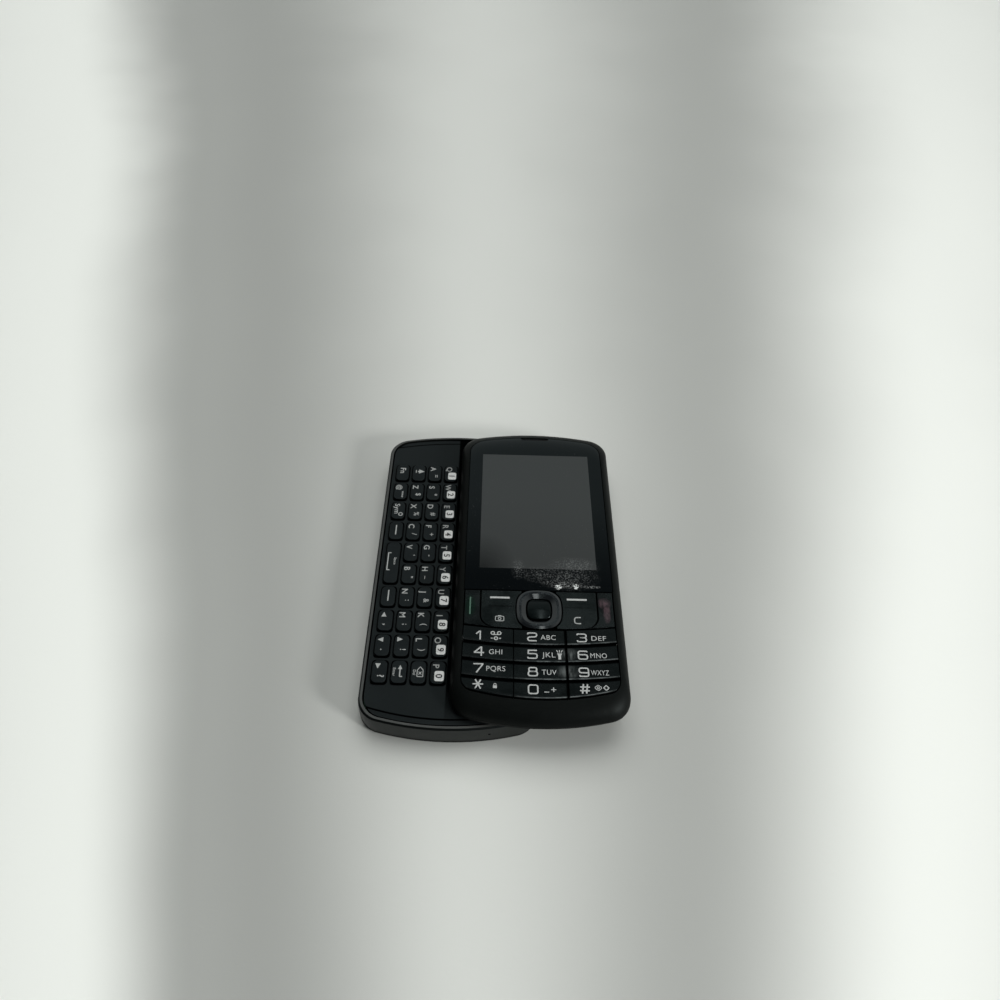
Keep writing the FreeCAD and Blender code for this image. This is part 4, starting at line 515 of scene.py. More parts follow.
def wrap_material():
    """Printed film round the battery: plain dark field with a paler stripe and no words."""
    dark, pale = (0.035, 0.036, 0.04), (0.30, 0.31, 0.33)
    material, tree, inputs = new_material("battery_film", dark, 0.38, coat=0.3)
    low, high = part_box("battery")
    start, end = (high.y - reach * MM for reach in WRAP_STRIPE)
    feed(inputs["Base Color"], blend(box_mask(tree, (low.x, start), (high.x, end), 0.1 * MM), dark, pale))
    add_bump(inputs, noise(tree, 900.0, 3.0), 0.02 * MM)
    return material


def printed_ink(name, colour):
    """Printed ink, a little uneven where it has worn."""
    material, tree, inputs = new_material(name, colour, 0.45)
    wear = noise(tree, 1500.0, 4.0).ramp(0.3, 0.62)
    feed(inputs["Base Color"], blend(wear, tint(colour, 0.8), tint(colour, 1.08)))
    return material


# -------- materials of the front keys
def key_gloss(name, colour, specular, roughness=0.15, coat=0.0, paint=None, shade=None):
    """Gloss key plastic with finger marks that soften its reflections, and painted shade that makes its steep
    sides black.

    paint adds the key's own colours, and on the number keys painted glare and glints: it takes the tree and
    the colour so far, and returns a new one.
    shade gives a mask that is 1 where painted shade makes the key black and dull."""
    material, tree, inputs = new_material(name, colour, roughness, specular, COOL_SHEEN, coat=coat)
    marks = noise(tree, 130.0, 5.0, 0.6).ramp(0.38, 0.66)
    feed(inputs["Roughness"], marks.ramp(0, 1, roughness, roughness + 0.2))
    face = blend(marks, colour, tint(colour, 1.6))
    if paint:
        face = paint(tree, face)
    # painted shade: steep sides get a tenth of the colour and little reflection
    upward = facing(tree)[2].ramp(0.8, 0.95)
    if shade:
        upward = upward * shade(tree).ramp(0, 1, 1, 0)
    feed(inputs["Base Color"], blend(upward, tint(colour, 0.1), face))
    feed(inputs["Specular IOR Level"], upward.ramp(0, 1, specular * 0.1, specular))
    add_bump(inputs, noise(tree, 260.0, 2.0), 0.012 * MM)
    return material


ROW_RADIUS = 190.0  # curve of the lower edges of the number key rows, mm
LAST_ROW_RADIUS = 80.0
EDGE_SOFT = 0.1  # how softly the painted shade and glints along a row's edges start
ROW_SHADE = 0.6  # width of the painted shade on a key's upper edge, below the row above
COLUMN_SHADE = 0.3  # half width of the painted shade between the middle and right columns
PAINTED_GLARE = (((7.8, -36.4), 3.6, 2.6), ((7.8, -42.0), 3.6, 2.6))  # painted glare between the middle and right columns, on two rows of keys
# colour of the painted glare
PAINTED_GLARE_COLOUR = (0.084, 0.092, 0.090)
CREST = (-0.52, -0.3)  # painted glint along a key's crest, from its lower wall, mm
CREST_GLINT_COLOUR = (0.12, 0.13, 0.128)
CREST_START = 6.0  # over which the painted glints grow, from the middle column's left side


def row_distance(tree, key, radius):
    """How far below the curved lower edge of a middle key's row a place lies, in metres."""
    centre_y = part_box(key)[0].y + radius * MM
    return plan_distance(place_on_object(tree), SLIDER_OPEN * MM, centre_y) - radius * MM


def number_key_shade(tree):
    """Painted shade: 1 along the upper edges of the number keys, below the row above, and between the middle
    and right columns.
    """
    side = abs(axes(place_on_object(tree))[0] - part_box("key_5")[1].x)
    masks = [side.ramp(COLUMN_SHADE * MM, 2 * COLUMN_SHADE * MM, 1, 0)]
    for key in ("key_2", "key_5", "key_8"):
        below = row_distance(tree, key, ROW_RADIUS)
        edge = below.ramp(0, EDGE_SOFT * MM)
        masks.append(edge * below.ramp(ROW_SHADE * MM, 1.5 * ROW_SHADE * MM, 1, 0))
    return strongest(masks)


def number_key_glare_and_glints(tree, face):
    """Painted glare, broken into streaks, between the middle and right columns, and painted glints along the
    crests at the lower edges of the middle and right columns.
    """
    streaks = noise(tree, 900.0, 3.0, stretch=(1, 0.3, 1)).ramp(0.4, 0.62, 0.15, 1)
    # painted glare, broken into streaks
    face = blend(strongest([blob_mask(tree, *glare_patch, 0.2) for glare_patch in PAINTED_GLARE]) * streaks, face, PAINTED_GLARE_COLOUR)
    crest_glints = []
    for key in ("key_2", "key_5", "key_8", "key_0"):
        below = row_distance(tree, key, LAST_ROW_RADIUS if key == "key_0" else ROW_RADIUS)
        crest_glints.append(below.between(CREST[0] * MM, CREST[1] * MM, EDGE_SOFT * MM))
    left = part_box("key_5")[0].x
    grown = axes(place_on_object(tree))[0].ramp(left, left + CREST_START * MM, 0.1, 1)
    # breaks the painted glints into patches
    worn = noise(tree, 420.0, 3.0).ramp(0.36, 0.6, 0.12, 0.7)
    return blend(strongest(crest_glints) * (grown * worn), face, CREST_GLINT_COLOUR)


CALL_MARK = (-20.9, -20.4)  # middles of the call and end keys' marks, from the slider's middle, mm
END_MARK = (20.2, -21.0)


def call_halo(tree, face):
    """Translucent dark green round the call key's mark."""
    return blend(blob_mask(tree, CALL_MARK, 2.0, 4.6, 0.4), face, (0.0008, 0.0068, 0.0036))


def end_halo(tree, face):
    """Blurred dull red mark of the end key: a ring at the top and a bar below it."""
    x, y = END_MARK
    ring = blob_mask(tree, (x - 0.3, y + 2.3), 2.3, 2.2, 0.25)
    bar = blob_mask(tree, (x + 0.3, y - 0.9), 1.3, 4.4, 0.35)
    speckle = noise(tree, 1500.0, 4.0, stretch=(1, 0.4, 1)).ramp(0.35, 0.65, 0.2, 1)
    return blend(strongest([ring, bar]) * speckle, face, (0.070, 0.043, 0.050))


GROOVE_SPAN = (7.6, 15.2)  # thin line across a function key, from the slider's middle, mm
GROOVE_Y = -20.4
GROOVE_HALF = 0.14
GROOVE_FADE = 0.15


def function_groove(tree, face):
    """Thin dark line across each function key, between its upper and lower ends."""
    near, far = GROOVE_SPAN
    lines = []
    for start, end in ((near, far), (-far, -near)):
        low = ((SLIDER_OPEN + start) * MM, (GROOVE_Y - GROOVE_HALF) * MM)
        high = ((SLIDER_OPEN + end) * MM, (GROOVE_Y + GROOVE_HALF) * MM)
        lines.append(box_mask(tree, low, high, GROOVE_FADE * MM))
    return blend(strongest(lines), face, (0.0005, 0.0006, 0.0006))


OK_DOME = (6.0, 13.0)  # square roots of the centre key's two curvatures, per metre


def ok_key_material():
    """Domed gloss cap of the centre key."""
    material = key_gloss("ok_key_gloss", (0.0014, 0.0022, 0.0022), 0.2, 0.06)
    tree = material.node_tree
    low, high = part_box("ok_key")
    middle = (low + high) / 2
    off = add_node(tree, "VectorMath", "MULTIPLY_ADD")
    feed(off.inputs[0], place_on_object(tree))
    feed(off.inputs[1], (*OK_DOME, 0))
    feed(off.inputs[2], (-middle.x * OK_DOME[0], -middle.y * OK_DOME[1], 0))
    square = add_node(tree, "VectorMath", "DOT_PRODUCT")
    feed(square.inputs[0], Field(off.outputs["Vector"]))
    feed(square.inputs[1], Field(off.outputs["Vector"]))
    add_bump(tree.nodes["Principled BSDF"].inputs, Field(square.outputs["Value"]) * -0.5, 1.0)
    return material


PLASTICS = {  # slot: material, colour, roughness, scale of the grain and its depth in mm, specular, coat
    "back_black": ("soft_touch_back", (0.0085, 0.009, 0.009), 0.58, 3600.0, 0.014, 0.35),
    "dome_sheet": ("dome_film", (0.42, 0.43, 0.43), 0.32, 1800.0, 0.01),
    "silicone_mat": ("silicone", (0.30, 0.31, 0.32), 0.62, 2400.0, 0.015),
    "dark_mat": ("dark_silicone", (0.0035, 0.0036, 0.0036), 0.7, 2400.0, 0.015, 0.1),
    "black_plastic": ("black_nylon", (0.014, 0.014, 0.014), 0.5, 2600.0, 0.012),
    "side_key": ("side_key_paint", (0.013, 0.013, 0.0115), 0.36, 4200.0, 0.005),
    "flex_film": ("flex_film", (0.40, 0.17, 0.035), 0.34, 1200.0, 0.01, 0.5, 0.3),
    "display_grey": ("display_glass", (0.05, 0.053, 0.053), 0.2, 1500.0, 0.002, 0.5, 0.5),
}
METALS = {  # slot: material, colour, roughness, stretch and scale of its lines, and their depth in mm
    "gold_contact": ("gold_plate", (0.83, 0.57, 0.22), 0.24, (1, 12, 1), 900.0, 0.004),
    "steel_sheet": ("tinned_sheet", (0.60, 0.60, 0.58), 0.34, (1, 18, 1), 700.0, 0.006),
    "slide_steel": ("slide_steel", (0.42, 0.42, 0.41), 0.3, (1, 22, 1), 800.0, 0.006),
    "screw_steel": ("screw_steel", (0.30, 0.30, 0.30), 0.32, (8, 8, 1), 1100.0, 0.004),
}
KEY_PAINT = (0.0019, 0.0026, 0.0026)
CALL_PAINT = (0.0026, 0.0034, 0.0034)
FUNCTION_PAINT = (0.0036, 0.0049, 0.0048)
RING_PAINT = (0.0066, 0.0071, 0.0082)


def all_materials():
    """One material per finish, by the record's slot or by the name in OWN_FINISH."""
    materials = {slot: moulded_plastic(*finish) for slot, finish in PLASTICS.items()}
    for slot, finish in METALS.items():
        materials[slot] = worked_metal(*finish)
    materials.update({
        "gunmetal_band": band_material(),
        "deck_black": deck_material(),
        "battery_wrap": wrap_material(),
        "circuit_board": board_material(),
        "keyboard_key": keyboard_key_material(),
        "window_glass": window_material(),
        "slider_black": slider_material(),
        "grille": grille_material(),
        "ok_key": ok_key_material(),
        "front_key": key_gloss("front_key_gloss", KEY_PAINT, 0.22,
                               paint=number_key_glare_and_glints, shade=number_key_shade),
        "ring_gloss": key_gloss("ring_gloss", RING_PAINT, 0.55, 0.09, 0.65),
        "call_key": key_gloss("call_key_gloss", CALL_PAINT, 0.26, paint=call_halo),
        "end_key": key_gloss("end_key_gloss", CALL_PAINT, 0.26, paint=end_halo),
        "function_key": key_gloss("function_key_gloss", FUNCTION_PAINT, 0.26, paint=function_groove),
    })
    return materials


OWN_FINISH = {  # parts whose look differs from the rest of their slot
    "earpiece_mesh": "grille", "call_key": "call_key", "end_key": "end_key", "ok_key": "ok_key",
    "left_function_key": "function_key", "right_function_key": "function_key",
    "qwerty_keymat": "dark_mat", "keypad_mat": "dark_mat",
}


def dress_nodes(materials):
    for part in frame["record"]["subparts"]:
        mesh = NODES[part["node"]].data
        mesh.materials.clear()
        mesh.materials.append(materials[OWN_FINISH.get(part["node"], part["material_slot"])])


# -------- ink: flat meshes, mm, x along the line
def rounded_path(corners, radius):
    """A path whose turns are short curves, and whether it is closed: it is if it ends where it starts."""
    points = [Vector(corner) for corner in corners]
    closed = points[0] == points[-1]
    if closed:
        points.pop()
    path = []
    for index, corner in enumerate(points):
        if not closed and index in (0, len(points) - 1):
            path.append(corner)
            continue
        before, after = points[index - 1], points[(index + 1) % len(points)]
        reach = min(radius, (before - corner).length / 2, (after - corner).length / 2)
        start = corner + (before - corner).normalized() * reach
        end = corner + (after - corner).normalized() * reach
        for step in range(ARC_STEPS + 1):
            t = step / ARC_STEPS
            path.append(start * (1 - t) ** 2 + corner * 2 * t * (1 - t) + end * t ** 2)
    return path, closed


def circle_path(x, y, radius):
    turn = 2 * math.pi / CIRCLE_STEPS
    angles = [turn * step for step in range(CIRCLE_STEPS)]
    return [Vector((x + radius * math.cos(angle), y + radius * math.sin(angle))) for angle in angles], True


def open_path(*points):
    return points, False


def in_short_steps(points, closed):
    path = []
    following = list(points[1:]) + ([points[0]] if closed else [])
    for start, end in zip(points, following):
        start, end = Vector(start), Vector(end)
        steps = max(1, math.ceil((end - start).length / INK_STEP))
        path += [start.lerp(end, step / steps) for step in range(steps)]
    return path if closed else path + [Vector(points[-1])]


def add_splines(curve, paths):
    for points, closed in paths:
        spline = curve.splines.new("POLY")
        spline.points.add(len(points) - 1)
        for target, point in zip(spline.points, points):
            target.co = (point[0], point[1], 0, 1)
        spline.use_cyclic_u = closed


def curve_to_mesh(curve, change):
    holder = bpy.data.objects.new("holder", curve)
    mesh = bpy.data.meshes.new_from_object(holder)
    bpy.data.objects.remove(holder)
    mesh.transform(change)
    return mesh


def strokes_mesh(paths, width):
    """Flattened tubes along paths, each a list of points and whether it is closed."""
    curve = bpy.data.curves.new("strokes", "CURVE")
    curve.dimensions = "3D"
    curve.bevel_depth = width / 2
    curve.bevel_resolution = 1
    curve.use_fill_caps = True
    add_splines(curve, [(in_short_steps(points, closed), closed) for points, closed in paths])
    return curve_to_mesh(curve, Matrix.Diagonal((1, 1, INK / width, 1)))


def filled_mesh(outline):
    """Filled flat shape inside an outline."""
    curve = bpy.data.curves.new("outline", "CURVE")
    curve.dimensions = "2D"
    curve.fill_mode = "BOTH"
    curve.extrude = INK / 2
    add_splines(curve, [(outline, True)])
    return curve_to_mesh(curve, Matrix.Identity(4))


def text_mesh(text, height, weight, width=None):
    """Text centred on the origin, with capitals of a given height, stretched to a width if one is given."""
    curve = bpy.data.curves.new("text", "FONT")
    curve.body = text
    curve.align_x = "CENTER"
    curve.size = height / FONT_CAPITAL
    curve.offset = weight
    curve.extrude = INK / 2
    curve.space_character = LETTER_SPACE
    mesh = curve_to_mesh(curve, Matrix.Translation((0, -height / 2, 0)))
    left = min(vertex.co.x for vertex in mesh.vertices)
    right = max(vertex.co.x for vertex in mesh.vertices)
    mesh.transform(Matrix.Translation((-(left + right) / 2, 0, 0)))
    if width:
        mesh.transform(Matrix.Diagonal((width / (right - left), 1, 1, 1)))
    return mesh


def moved(mesh, x, y):
    mesh.transform(Matrix.Translation((x, y, 0)))
    return mesh


def box_mesh(width, height, corner):
    """Filled box with rounded corners, centred on the origin."""
    half_w, half_h = width / 2, height / 2
    corners = [(-half_w, -half_h), (half_w, -half_h), (half_w, half_h), (-half_w, half_h), (-half_w, -half_h)]
    return filled_mesh(rounded_path(corners, corner)[0])


ARROW_CORNERS = ((0, 0.62), (130, 0.66), (230, 0.66))  # degrees from its tip, and share of its size


def arrow_mesh(size, direction):
    """Solid triangle pointing along a direction in degrees, 0 along the line of text."""
    outline = []
    for angle, reach in ARROW_CORNERS:
        at = math.radians(direction) + math.radians(angle)
        outline.append((size * reach * math.cos(at), size * reach * math.sin(at)))
    return filled_mesh(outline)


DIGIT_CORNER = 0.26  # share of the digit's size
DIGIT_PATHS = {
    "0": [[(0, 0), (1, 0), (1, 1), (0, 1), (0, 0)]],
    "1": [[(0.14, 0.66), (0.52, 1.06)], [(0.6, 1.09), (0.6, -0.09)]],
    "2": [[(0, 0.8), (0, 1), (1, 1), (1, 0.52), (0, 0.46), (0, 0), (1, 0)]],
    "3": [[(0, 0.84), (0, 1), (1, 1), (1, 0.52), (0.3, 0.52)],
          [(0.3, 0.52), (1, 0.52), (1, 0), (0, 0), (0, 0.18)]],
    "4": [[(0.72, 1.04), (-0.02, 0.34)], [(-0.05, 0.33), (1.08, 0.33)], [(0.78, 1.09), (0.78, -0.09)]],
    "5": [[(1, 1), (0.06, 1)], [(0.06, 1.08), (0.02, 0.54)],
          [(0, 0.58), (1, 0.58), (1, 0), (0, 0), (-0.02, 0.16)]],
    "6": [[(0.96, 0.86), (0.96, 1), (0, 1), (0, 0), (1, 0), (1, 0.56), (0, 0.56)]],
    "7": [[(-0.06, 1), (1.04, 1)], [(1.0, 1.0), (0.28, -0.08)]],
    "8": [[(0, 0), (1, 0), (1, 0.53), (0, 0.53), (0, 0)],
          [(0.07, 0.53), (0.93, 0.53), (0.93, 1), (0.07, 1), (0.07, 0.53)]],
    "9": [[(0.04, 0.14), (0.04, 0), (1, 0), (1, 1), (0, 1), (0, 0.44), (1, 0.44)]],
    "hash": [[(0.2, -0.06), (0.36, 1.06)], [(0.64, -0.06), (0.8, 1.06)],
             [(-0.04, 0.28), (1, 0.28)], [(0, 0.72), (1.04, 0.72)]],
    "star": [[(0.2, 1.12), (0.8, 0.02)], [(-0.07, 0.57), (1.07, 0.57)], [(0.8, 1.12), (0.2, 0.02)]],
}


def digit_mesh(name):
    """Squarish digit with rounded corners, centred on the origin."""
    width, height = DIGIT_SIZE
    paths = []
    for corners in DIGIT_PATHS[name]:
        points = [((x - 0.5) * width, (y - 0.5) * height) for x, y in corners]
        paths.append(rounded_path(points, DIGIT_CORNER * min(width, height)))
    return strokes_mesh(paths, DIGIT_STROKE)


# -------- laying ink on the parts
def print_on(node, name, inks, turn=0.0):
    """One printed piece on a part. Each ink is (mesh, place on the part in mm, material, lift in mm)."""
    part = NODES[node].data
    corners = [vertex.co for vertex in part.vertices]
    surface = BVHTree.FromPolygons(corners, [polygon.vertices for polygon in part.polygons])
    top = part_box(node)[1].z
    vertices, faces, indices, materials = [], [], [], []
    for mesh, place, material, lift in inks:
        mesh.transform(Matrix.Translation((*place, 0)) @ Matrix.Rotation(turn, 4, "Z"))
        if material not in materials:
            materials.append(material)
        first = len(vertices)
        for vertex in mesh.vertices:
            x, y = vertex.co.x * MM, vertex.co.y * MM
            hit = surface.ray_cast(Vector((x, y, top + RAY_START * MM)), Vector((0, 0, -1)))[0]
            ground = hit.z if hit else top
            vertices.append((x, y, ground + (vertex.co.z + INK / 2 - INK_SUNK + lift) * MM))
        faces += [[first + index for index in polygon.vertices] for polygon in mesh.polygons]
        indices += [materials.index(material)] * len(mesh.polygons)
        bpy.data.meshes.remove(mesh)
    mesh = bpy.data.meshes.new(name)
    mesh.from_pydata(vertices, [], faces)
    for material in materials:
        mesh.materials.append(material)
    mesh.polygons.foreach_set("material_index", indices)
    piece = bpy.data.objects.new(name, mesh)
    bpy.context.scene.collection.objects.link(piece)
    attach(piece, BODY_OF[node])


# -------- legends of the keyboard
def on_key(mesh, key, place, material, lift=0.0):
    """Ink at a place along and up a key, which is given by its row and its index in that row."""
    row, index = key
    x = FIRST_KEY[0] + KEY_PITCH[0] * row
    y = FIRST_KEY[1] - KEY_PITCH[1] * index
    return mesh, (x + place[1], y - place[0]), material, lift


def print_marks(node, name, marks, ink):
    """Marks of one colour on keyboard keys: each is a mesh, its key and its place on that key."""
    print_on(node, name, [on_key(*mark, ink) for mark in marks], LANDSCAPE)


def letter_mesh(letter):
    return text_mesh(letter, LETTER_HEIGHT, LETTER_WEIGHT)


def word_mesh(word):
    return text_mesh(word, WORD_HEIGHT, WORD_WEIGHT)


def letter_and_sign(letter, sign, key):
    return [(letter_mesh(letter), key, LETTER_PLACE),
            (text_mesh(sign, SIGN_HEIGHT, SIGN_WEIGHT), key, SIGN_PLACE)]


def print_top_row(box, dark, ink):
    inks = []
    for index, (letter, digit) in enumerate(zip(TOP_LETTERS, TOP_DIGITS)):
        key = (TOP_ROW, index)
        inks.append(on_key(letter_mesh(letter), key, LETTER_PLACE, ink))
        inks.append(on_key(box_mesh(*BOX_SIZE, BOX_CORNER), key, BOX_PLACE, box))
        inks.append(on_key(text_mesh(digit, BOXED_HEIGHT, BOXED_WEIGHT), key, BOX_PLACE, dark, INK))
    print_on("qwerty_top_row_keys", "legends_top_row", inks, LANDSCAPE)


def delete_icon():
    shape = [(-1.75, 0.5), (-0.7, 1.35), (1.45, 1.35), (1.45, -0.35), (-0.7, -0.35), (-1.75, 0.5)]
    cross = [open_path((-0.15, 0.1), (0.75, 0.9)), open_path((-0.15, 0.9), (0.75, 0.1))]
    return strokes_mesh([rounded_path(shape, 0.12), *cross], 0.25)


def print_home_row(ink):
    marks = []
    for index, (letter, sign) in enumerate(zip(HOME_LETTERS, HOME_SIGNS)):
        marks += letter_and_sign(letter, sign, (HOME_ROW, index))
    delete = (HOME_ROW, len(HOME_LETTERS))
    marks += [(delete_icon(), delete, (0, 0)), (word_mesh("Del"), delete, (0.1, -1.15))]
    print_marks("qwerty_home_row_keys", "legends_home_row", marks, ink)


def print_lower_row(ink):
    shift, up, enter = ((LOWER_ROW, index) for index in (0, 8, 9))
    marks = [
        (strokes_mesh([open_path((-0.7, -0.35), (-0.7, 0.6))], 0.6), shift, (0, 0)),
        (arrow_mesh(1.9, 90), shift, (-0.7, 0.8)),
        (strokes_mesh([open_path((-1.3, -1.0), (-0.1, -1.0))], 0.3), shift, (0, 0)),
    ]
    for index, (letter, sign) in enumerate(zip(LOWER_LETTERS, LOWER_SIGNS), start=1):
        marks += letter_and_sign(letter, sign, (LOWER_ROW, index))
    marks += [
        (arrow_mesh(ARROW_SIZE, 90), up, (-2.1, -0.75)),
        (text_mesh("!", SIGN_HEIGHT, LETTER_WEIGHT), up, SIGN_PLACE),
        (strokes_mesh([open_path((-1.3, 0.3), (1.5, 0.3), (1.5, 1.1))], 0.36), enter, (0, 0)),
        (arrow_mesh(1.3, 180), enter, (-1.4, 0.3)),
        (word_mesh("Enter"), enter, (0.1, -1.35)),
    ]
    print_marks("qwerty_lower_row_keys", "legends_lower_row", marks, ink)


BOTTOM_TEXTS = (  # key's index, text, height, weight, width where it is measured, and place on the key
    (0, "Fn", LETTER_HEIGHT, MARK_WEIGHT, None, (-1.0, 0.1)),
    (1, "@", 1.7, SIGN_WEIGHT, None, (-1.7, -0.45)),
    (1, "www", 0.95, WORD_WEIGHT, None, (1.4, 0.9)),
    (2, "Sym", SIGN_HEIGHT, SIGN_WEIGHT, 4.3, (-0.75, -0.4)),
)
BOTTOM_DASHES = (3, 6)  # keys' indices
BOTTOM_ARROWS = ((7, 180, ","), (8, 270, "."), (9, 0, "?"))  # key's index, direction, and mark beside it


def print_bottom_row(ink):
    marks = []
    for index, text, height, weight, width, place in BOTTOM_TEXTS:
        marks.append((text_mesh(text, height, weight, width), (BOTTOM_ROW, index), place))
    marks.append((strokes_mesh([circle_path(0, 0, 0.62)], 0.3), (BOTTOM_ROW, 2), (1.6, 0.85)))
    for index in BOTTOM_DASHES:
        marks.append((strokes_mesh([open_path((-2.3, 0), (1.7, 0))], 0.38), (BOTTOM_ROW, index), (0, 0)))
    for index, direction, mark in BOTTOM_ARROWS:
        marks.append((arrow_mesh(ARROW_SIZE, direction), (BOTTOM_ROW, index), (-1.9, -0.6)))
        marks.append((text_mesh(mark, MARK_HEIGHT, MARK_WEIGHT), (BOTTOM_ROW, index), (1.5, 0.6)))
    print_marks("qwerty_bottom_row_keys", "legends_bottom_row", marks, ink)


def print_space_key(ink):
    key = (BOTTOM_ROW, SPACE_INDEX)
    bracket = strokes_mesh([open_path((-3.8, -0.6), (-3.8, -1.5), (3.0, -1.5), (3.0, -0.6))], 0.36)
    marks = [(bracket, key, (0, 0)), (word_mesh("Space"), key, (-0.5, 0.9))]
    print_marks("space_key", "legend_space_key", marks, ink)


# -------- legends of the front keys
def front_ink(mesh, x, y, material):
    return mesh, (SLIDER_OPEN + x, y), material, 0.0


def voicemail_icon():
    rings = [circle_path(-0.95, 0.9, 0.52), circle_path(0.95, 0.9, 0.52)]
    tape = open_path((-0.95, 0.36), (0.95, 0.36))
    waves = [open_path((-1.5, -0.95), (-0.95, -0.95)), open_path((0.95, -0.95), (1.5, -0.95))]
    return [strokes_mesh([*rings, tape, circle_path(0, -0.95, 0.5), *waves], 0.32)]


def torch_icon():
    body = filled_mesh([(-0.75, 0.35), (0.75, 0.35), (0.4, -0.45), (0.4, -1.7), (-0.4, -1.7), (-0.4, -0.45)])
    rays = [open_path((side * 0.45, 0.7), (side * 0.85, 1.5)) for side in (-1, 0, 1)]
    return [body, strokes_mesh(rays, 0.26)]


def padlock_icon():
    shackle = rounded_path([(-0.32, 0.25), (-0.32, 0.85), (0.32, 0.85), (0.32, 0.25)], 0.3)
    return [moved(box_mesh(1.1, 0.85, 0.12), 0, -0.2), strokes_mesh([shackle], 0.22)]


def plus_icon():
    """Low dash and a plus sign."""
    dash = open_path((0.85, -0.8), (2.3, -0.8))
    plus = [open_path((2.85, 0), (4.25, 0)), open_path((3.55, -0.7), (3.55, 0.7))]
    return [strokes_mesh([dash, *plus], 0.25)]


def swap_icons():
    """Eye-shaped mark and a lozenge."""
    eye = rounded_path([(-1.1, 0), (0, 0.95), (1.1, 0), (0, -0.95), (-1.1, 0)], 0.5)
    lozenge = rounded_path([(0.75, 0), (0, 0.8), (-0.75, 0), (0, -0.8), (0.75, 0)], 0.1)
    return [moved(strokes_mesh([eye, circle_path(0, 0, 0.32)], 0.2), -1.05, 0),
            moved(strokes_mesh([lozenge], 0.3), 1.2, 0)]


def camera_icon():
    case = rounded_path([(-1.25, -0.85), (1.25, -0.85), (1.25, 0.75), (-1.25, 0.75), (-1.25, -0.85)], 0.35)
    return strokes_mesh([case, circle_path(0, -0.05, 0.42), open_path((-0.5, 0.98), (0.5, 0.98))], 0.24)


def clear_icon():
    letter_c = rounded_path([(0.95, 1.05), (-0.95, 1.05), (-0.95, -1.05), (0.95, -1.05)], 0.8)
    return strokes_mesh([letter_c], 0.36)


FRONT_ICONS = {  # what stands beside a digit: its meshes, its middle X and how far above the digit's middle
    "1": (voicemail_icon, -12.95, 0), "5": (torch_icon, 5.63, 0.1), "star": (padlock_icon, -13.03, -0.4),
    "0": (plus_icon, 0, 0), "hash": (swap_icons, 17.25, 0.4),
}
FUNCTION_KEYS = {  # width and place of a key's bar, its icon and the icon's place
    "left_function_key": (6.0, (-11.92, -17.33), camera_icon, (-11.93, -24.75)),
    "right_function_key": (6.1, (11.59, -17.52), clear_icon, (11.53, -24.9)),
}
FUNCTION_BAR = (0.62, 0.1)  # height and corner
CALL_BAR = (0.42, 6.2, 0.2)  # width, height and corner


def print_number_keys(ink):
    for names, middles in FRONT_ROWS:
        for name, x, y in zip(names, DIGIT_X, middles):
            inks = [front_ink(digit_mesh(name), x, y, ink)]
            if name in FRONT_LETTERS:
                text, middle, width = FRONT_LETTERS[name]
                letters = text_mesh(text, FRONT_LETTER_HEIGHT, FRONT_LETTER_WEIGHT, width)
                inks.append(front_ink(letters, middle, y - FRONT_LETTER_DROP, ink))
            if name in FRONT_ICONS:
                icon, middle, raised = FRONT_ICONS[name]
                inks += [front_ink(mesh, middle, y + raised, ink) for mesh in icon()]
            print_on("key_" + name, "legend_key_" + name, inks)


def print_function_keys(white, soft):
    for node, (width, place, icon, icon_place) in FUNCTION_KEYS.items():
        bar = front_ink(box_mesh(width, *FUNCTION_BAR), *place, white)
        print_on(node, "legend_" + node, [bar, front_ink(icon(), *icon_place, soft)])


def add_legends():
    white = printed_ink("legend_white", (0.62, 0.63, 0.61))
    front = printed_ink("legend_front", (0.37, 0.38, 0.37))
    soft = printed_ink("legend_keyboard", (0.30, 0.31, 0.30))
    dark = printed_ink("legend_dark", (0.008, 0.008, 0.008))
    green = printed_ink("legend_green", (0.05, 0.105, 0.075))
    print_top_row(white, dark, soft)
    print_home_row(soft)
    print_lower_row(soft)
    print_bottom_row(soft)
    print_space_key(soft)
    print_number_keys(front)
    print_function_keys(front, soft)
    print_on("call_key", "legend_call_key", [front_ink(box_mesh(*CALL_BAR), *CALL_MARK, green)])


# -------- stage
def fan_share(tree):
    """How far to the side a place on the floor lies, for each metre that it lies ahead of the fan's start."""
    x, y, _ = axes(place_on_object(tree))
    return (x - FAN_PLACE[0] * MM) / (y - FAN_PLACE[1] * MM)


def add_floor():
    """Pale board with broad soft bands of light and shade painted into its colour."""
    material, tree, inputs = new_material("floor_board_painted_light", FLOOR_TINT, 0.6, specular=0.25)
    span_low, span_high = PAINTED_FLOOR_BANDS[0][0], PAINTED_FLOOR_BANDS[-1][0]
    bands = add_node(tree, "ValToRGB")
    bands.color_ramp.interpolation = "EASE"
    stops = bands.color_ramp.elements
    while len(stops) < len(PAINTED_FLOOR_BANDS):
        stops.new(0.5)
    for stop, (share, level) in zip(stops, PAINTED_FLOOR_BANDS):
        stop.position = (share - span_low) / (span_high - span_low)
        stop.color = (*tint(FLOOR_TINT, level), 1)
    drift = patches(tree, 5.0, -FLOOR_DRIFT, FLOOR_DRIFT, 3.0)
    # painted light and shade: the bands fan out across the floor
    feed(bands.inputs["Fac"], fan_share(tree).ramp(span_low, span_high) + drift)
    feed(inputs["Base Color"], Field(bands.outputs["Color"]))
    add_bump(inputs, noise(tree, 500.0, 4.0), 0.03 * MM)
    mesh = bpy.data.meshes.new("floor")
    corners = [(x * FLOOR_HALF, y * FLOOR_HALF, 0) for x, y in ((-1, -1), (1, -1), (1, 1), (-1, 1))]
    mesh.from_pydata(corners, [], [(0, 1, 2, 3)])
    mesh.materials.append(material)
    floor = bpy.data.objects.new("floor", mesh)
    bpy.context.scene.collection.objects.link(floor)


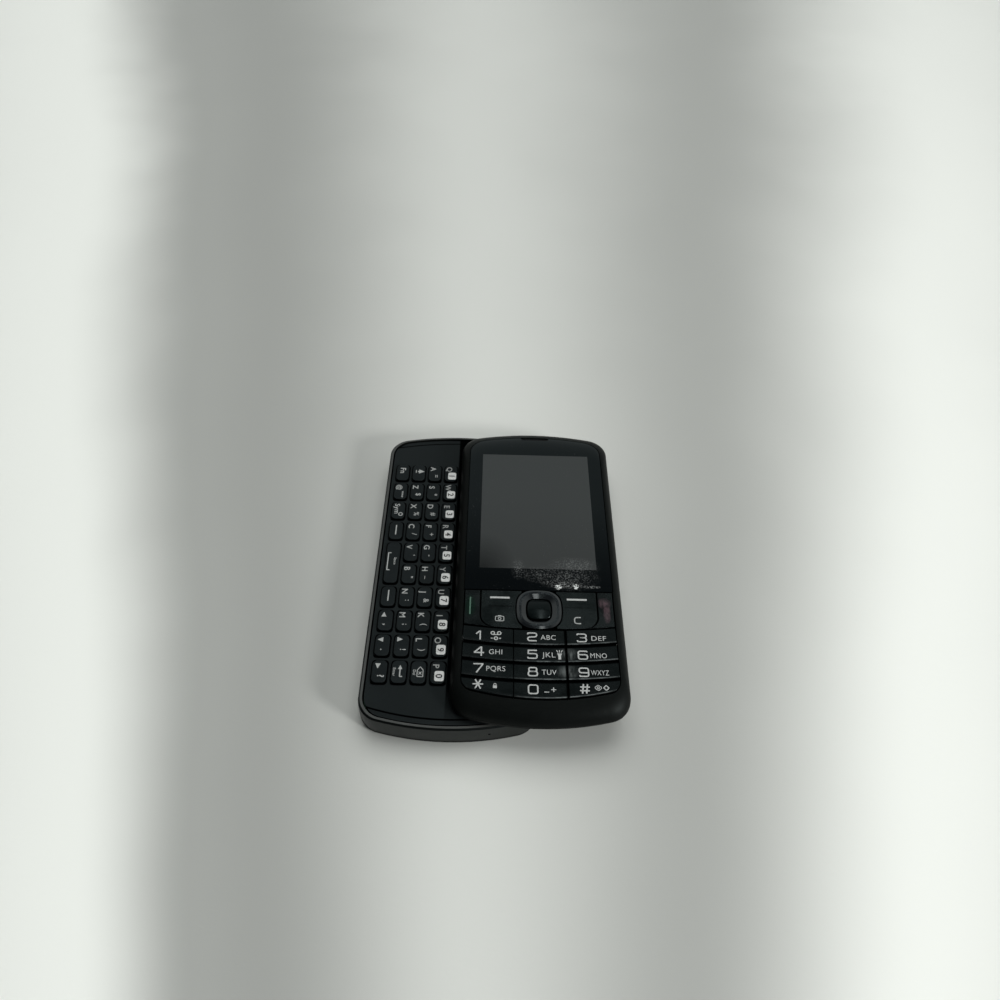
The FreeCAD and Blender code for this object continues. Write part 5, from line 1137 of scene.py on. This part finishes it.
def add_sky():
    """Studio round the phone: a wall ahead, screens at both sides, a long light overhead, dim elsewhere."""
    world = bpy.data.worlds.new("studio")
    bpy.context.scene.world = world
    world.use_nodes = True
    tree = world.node_tree
    x, y, z = axes(Field(add_node(tree, "TexCoord").outputs["Generated"]))
    wall = blend(x.ramp(*WALL_SPAN), *WALL_COLOURS)
    colour = blend(z.ramp(*WALL_TOP, 1, 0) * y.ramp(*WALL_AHEAD), ROOM_COLOUR, wall)
    left = blend(y.ramp(*LEFT_SCREEN_SPAN), ROOM_COLOUR, SCREEN_COLOUR)
    right = blend(y.ramp(*RIGHT_SCREEN_SPAN), tint(SCREEN_COLOUR, 0.5), SCREEN_COLOUR)
    for side, screen in ((-1, left), (1, right)):
        start, end = SCREEN_EDGE
        colour = blend(x.ramp(side * start, side * end), colour, screen)
    tube = x.between(*TUBE_SPAN, TUBE_EDGE) * y.between(*TUBE_REACH, TUBE_EDGE)
    tube = tube * z.between(TUBE_EDGE, 1, TUBE_EDGE)
    feed(tree.nodes["Background"].inputs["Color"], blend(tube, colour, TUBE_COLOUR))


def add_softbox(name, place, size, power):
    light = bpy.data.lights.new(name, "AREA")
    light.size = size
    light.energy = power
    lamp = bpy.data.objects.new(name, light)
    lamp.location = place
    lamp.rotation_euler = (-place).to_track_quat("-Z", "Y").to_euler()
    bpy.context.scene.collection.objects.link(lamp)
    return lamp


def add_camera():
    data = bpy.data.cameras.new("camera")
    data.sensor_width = SENSOR_MM
    data.lens = FOCAL_PIXELS / IMAGE_SIZE * SENSOR_MM
    data.clip_start = CLIP_START
    camera = bpy.data.objects.new("camera", data)
    level = Vector((math.cos(CAMERA_TURN), -math.sin(CAMERA_TURN), 0))
    flat = math.cos(CAMERA_PITCH)
    ahead = Vector((math.sin(CAMERA_TURN) * flat, math.cos(CAMERA_TURN) * flat, -math.sin(CAMERA_PITCH)))
    upright = level.cross(ahead)
    right = level * math.cos(CAMERA_ROLL) + upright * math.sin(CAMERA_ROLL)
    up = upright * math.cos(CAMERA_ROLL) - level * math.sin(CAMERA_ROLL)
    camera.matrix_world = Matrix.Translation(CAMERA_PLACE) @ Matrix((right, up, -ahead)).transposed().to_4x4()
    bpy.context.scene.collection.objects.link(camera)
    bpy.context.scene.camera = camera


add_camera()
add_sky()
add_softbox("key_softbox", SOFTBOX_PLACE, SOFTBOX_SIZE, SOFTBOX_POWER)
back_light = add_softbox("back_softbox", BACK_PLACE, BACK_SIZE, BACK_POWER)
back_light.visible_glossy = False  # no glare on the window
add_floor()
dress_nodes(all_materials())
add_legends()
bpy.context.scene.view_settings.view_transform = "Standard"
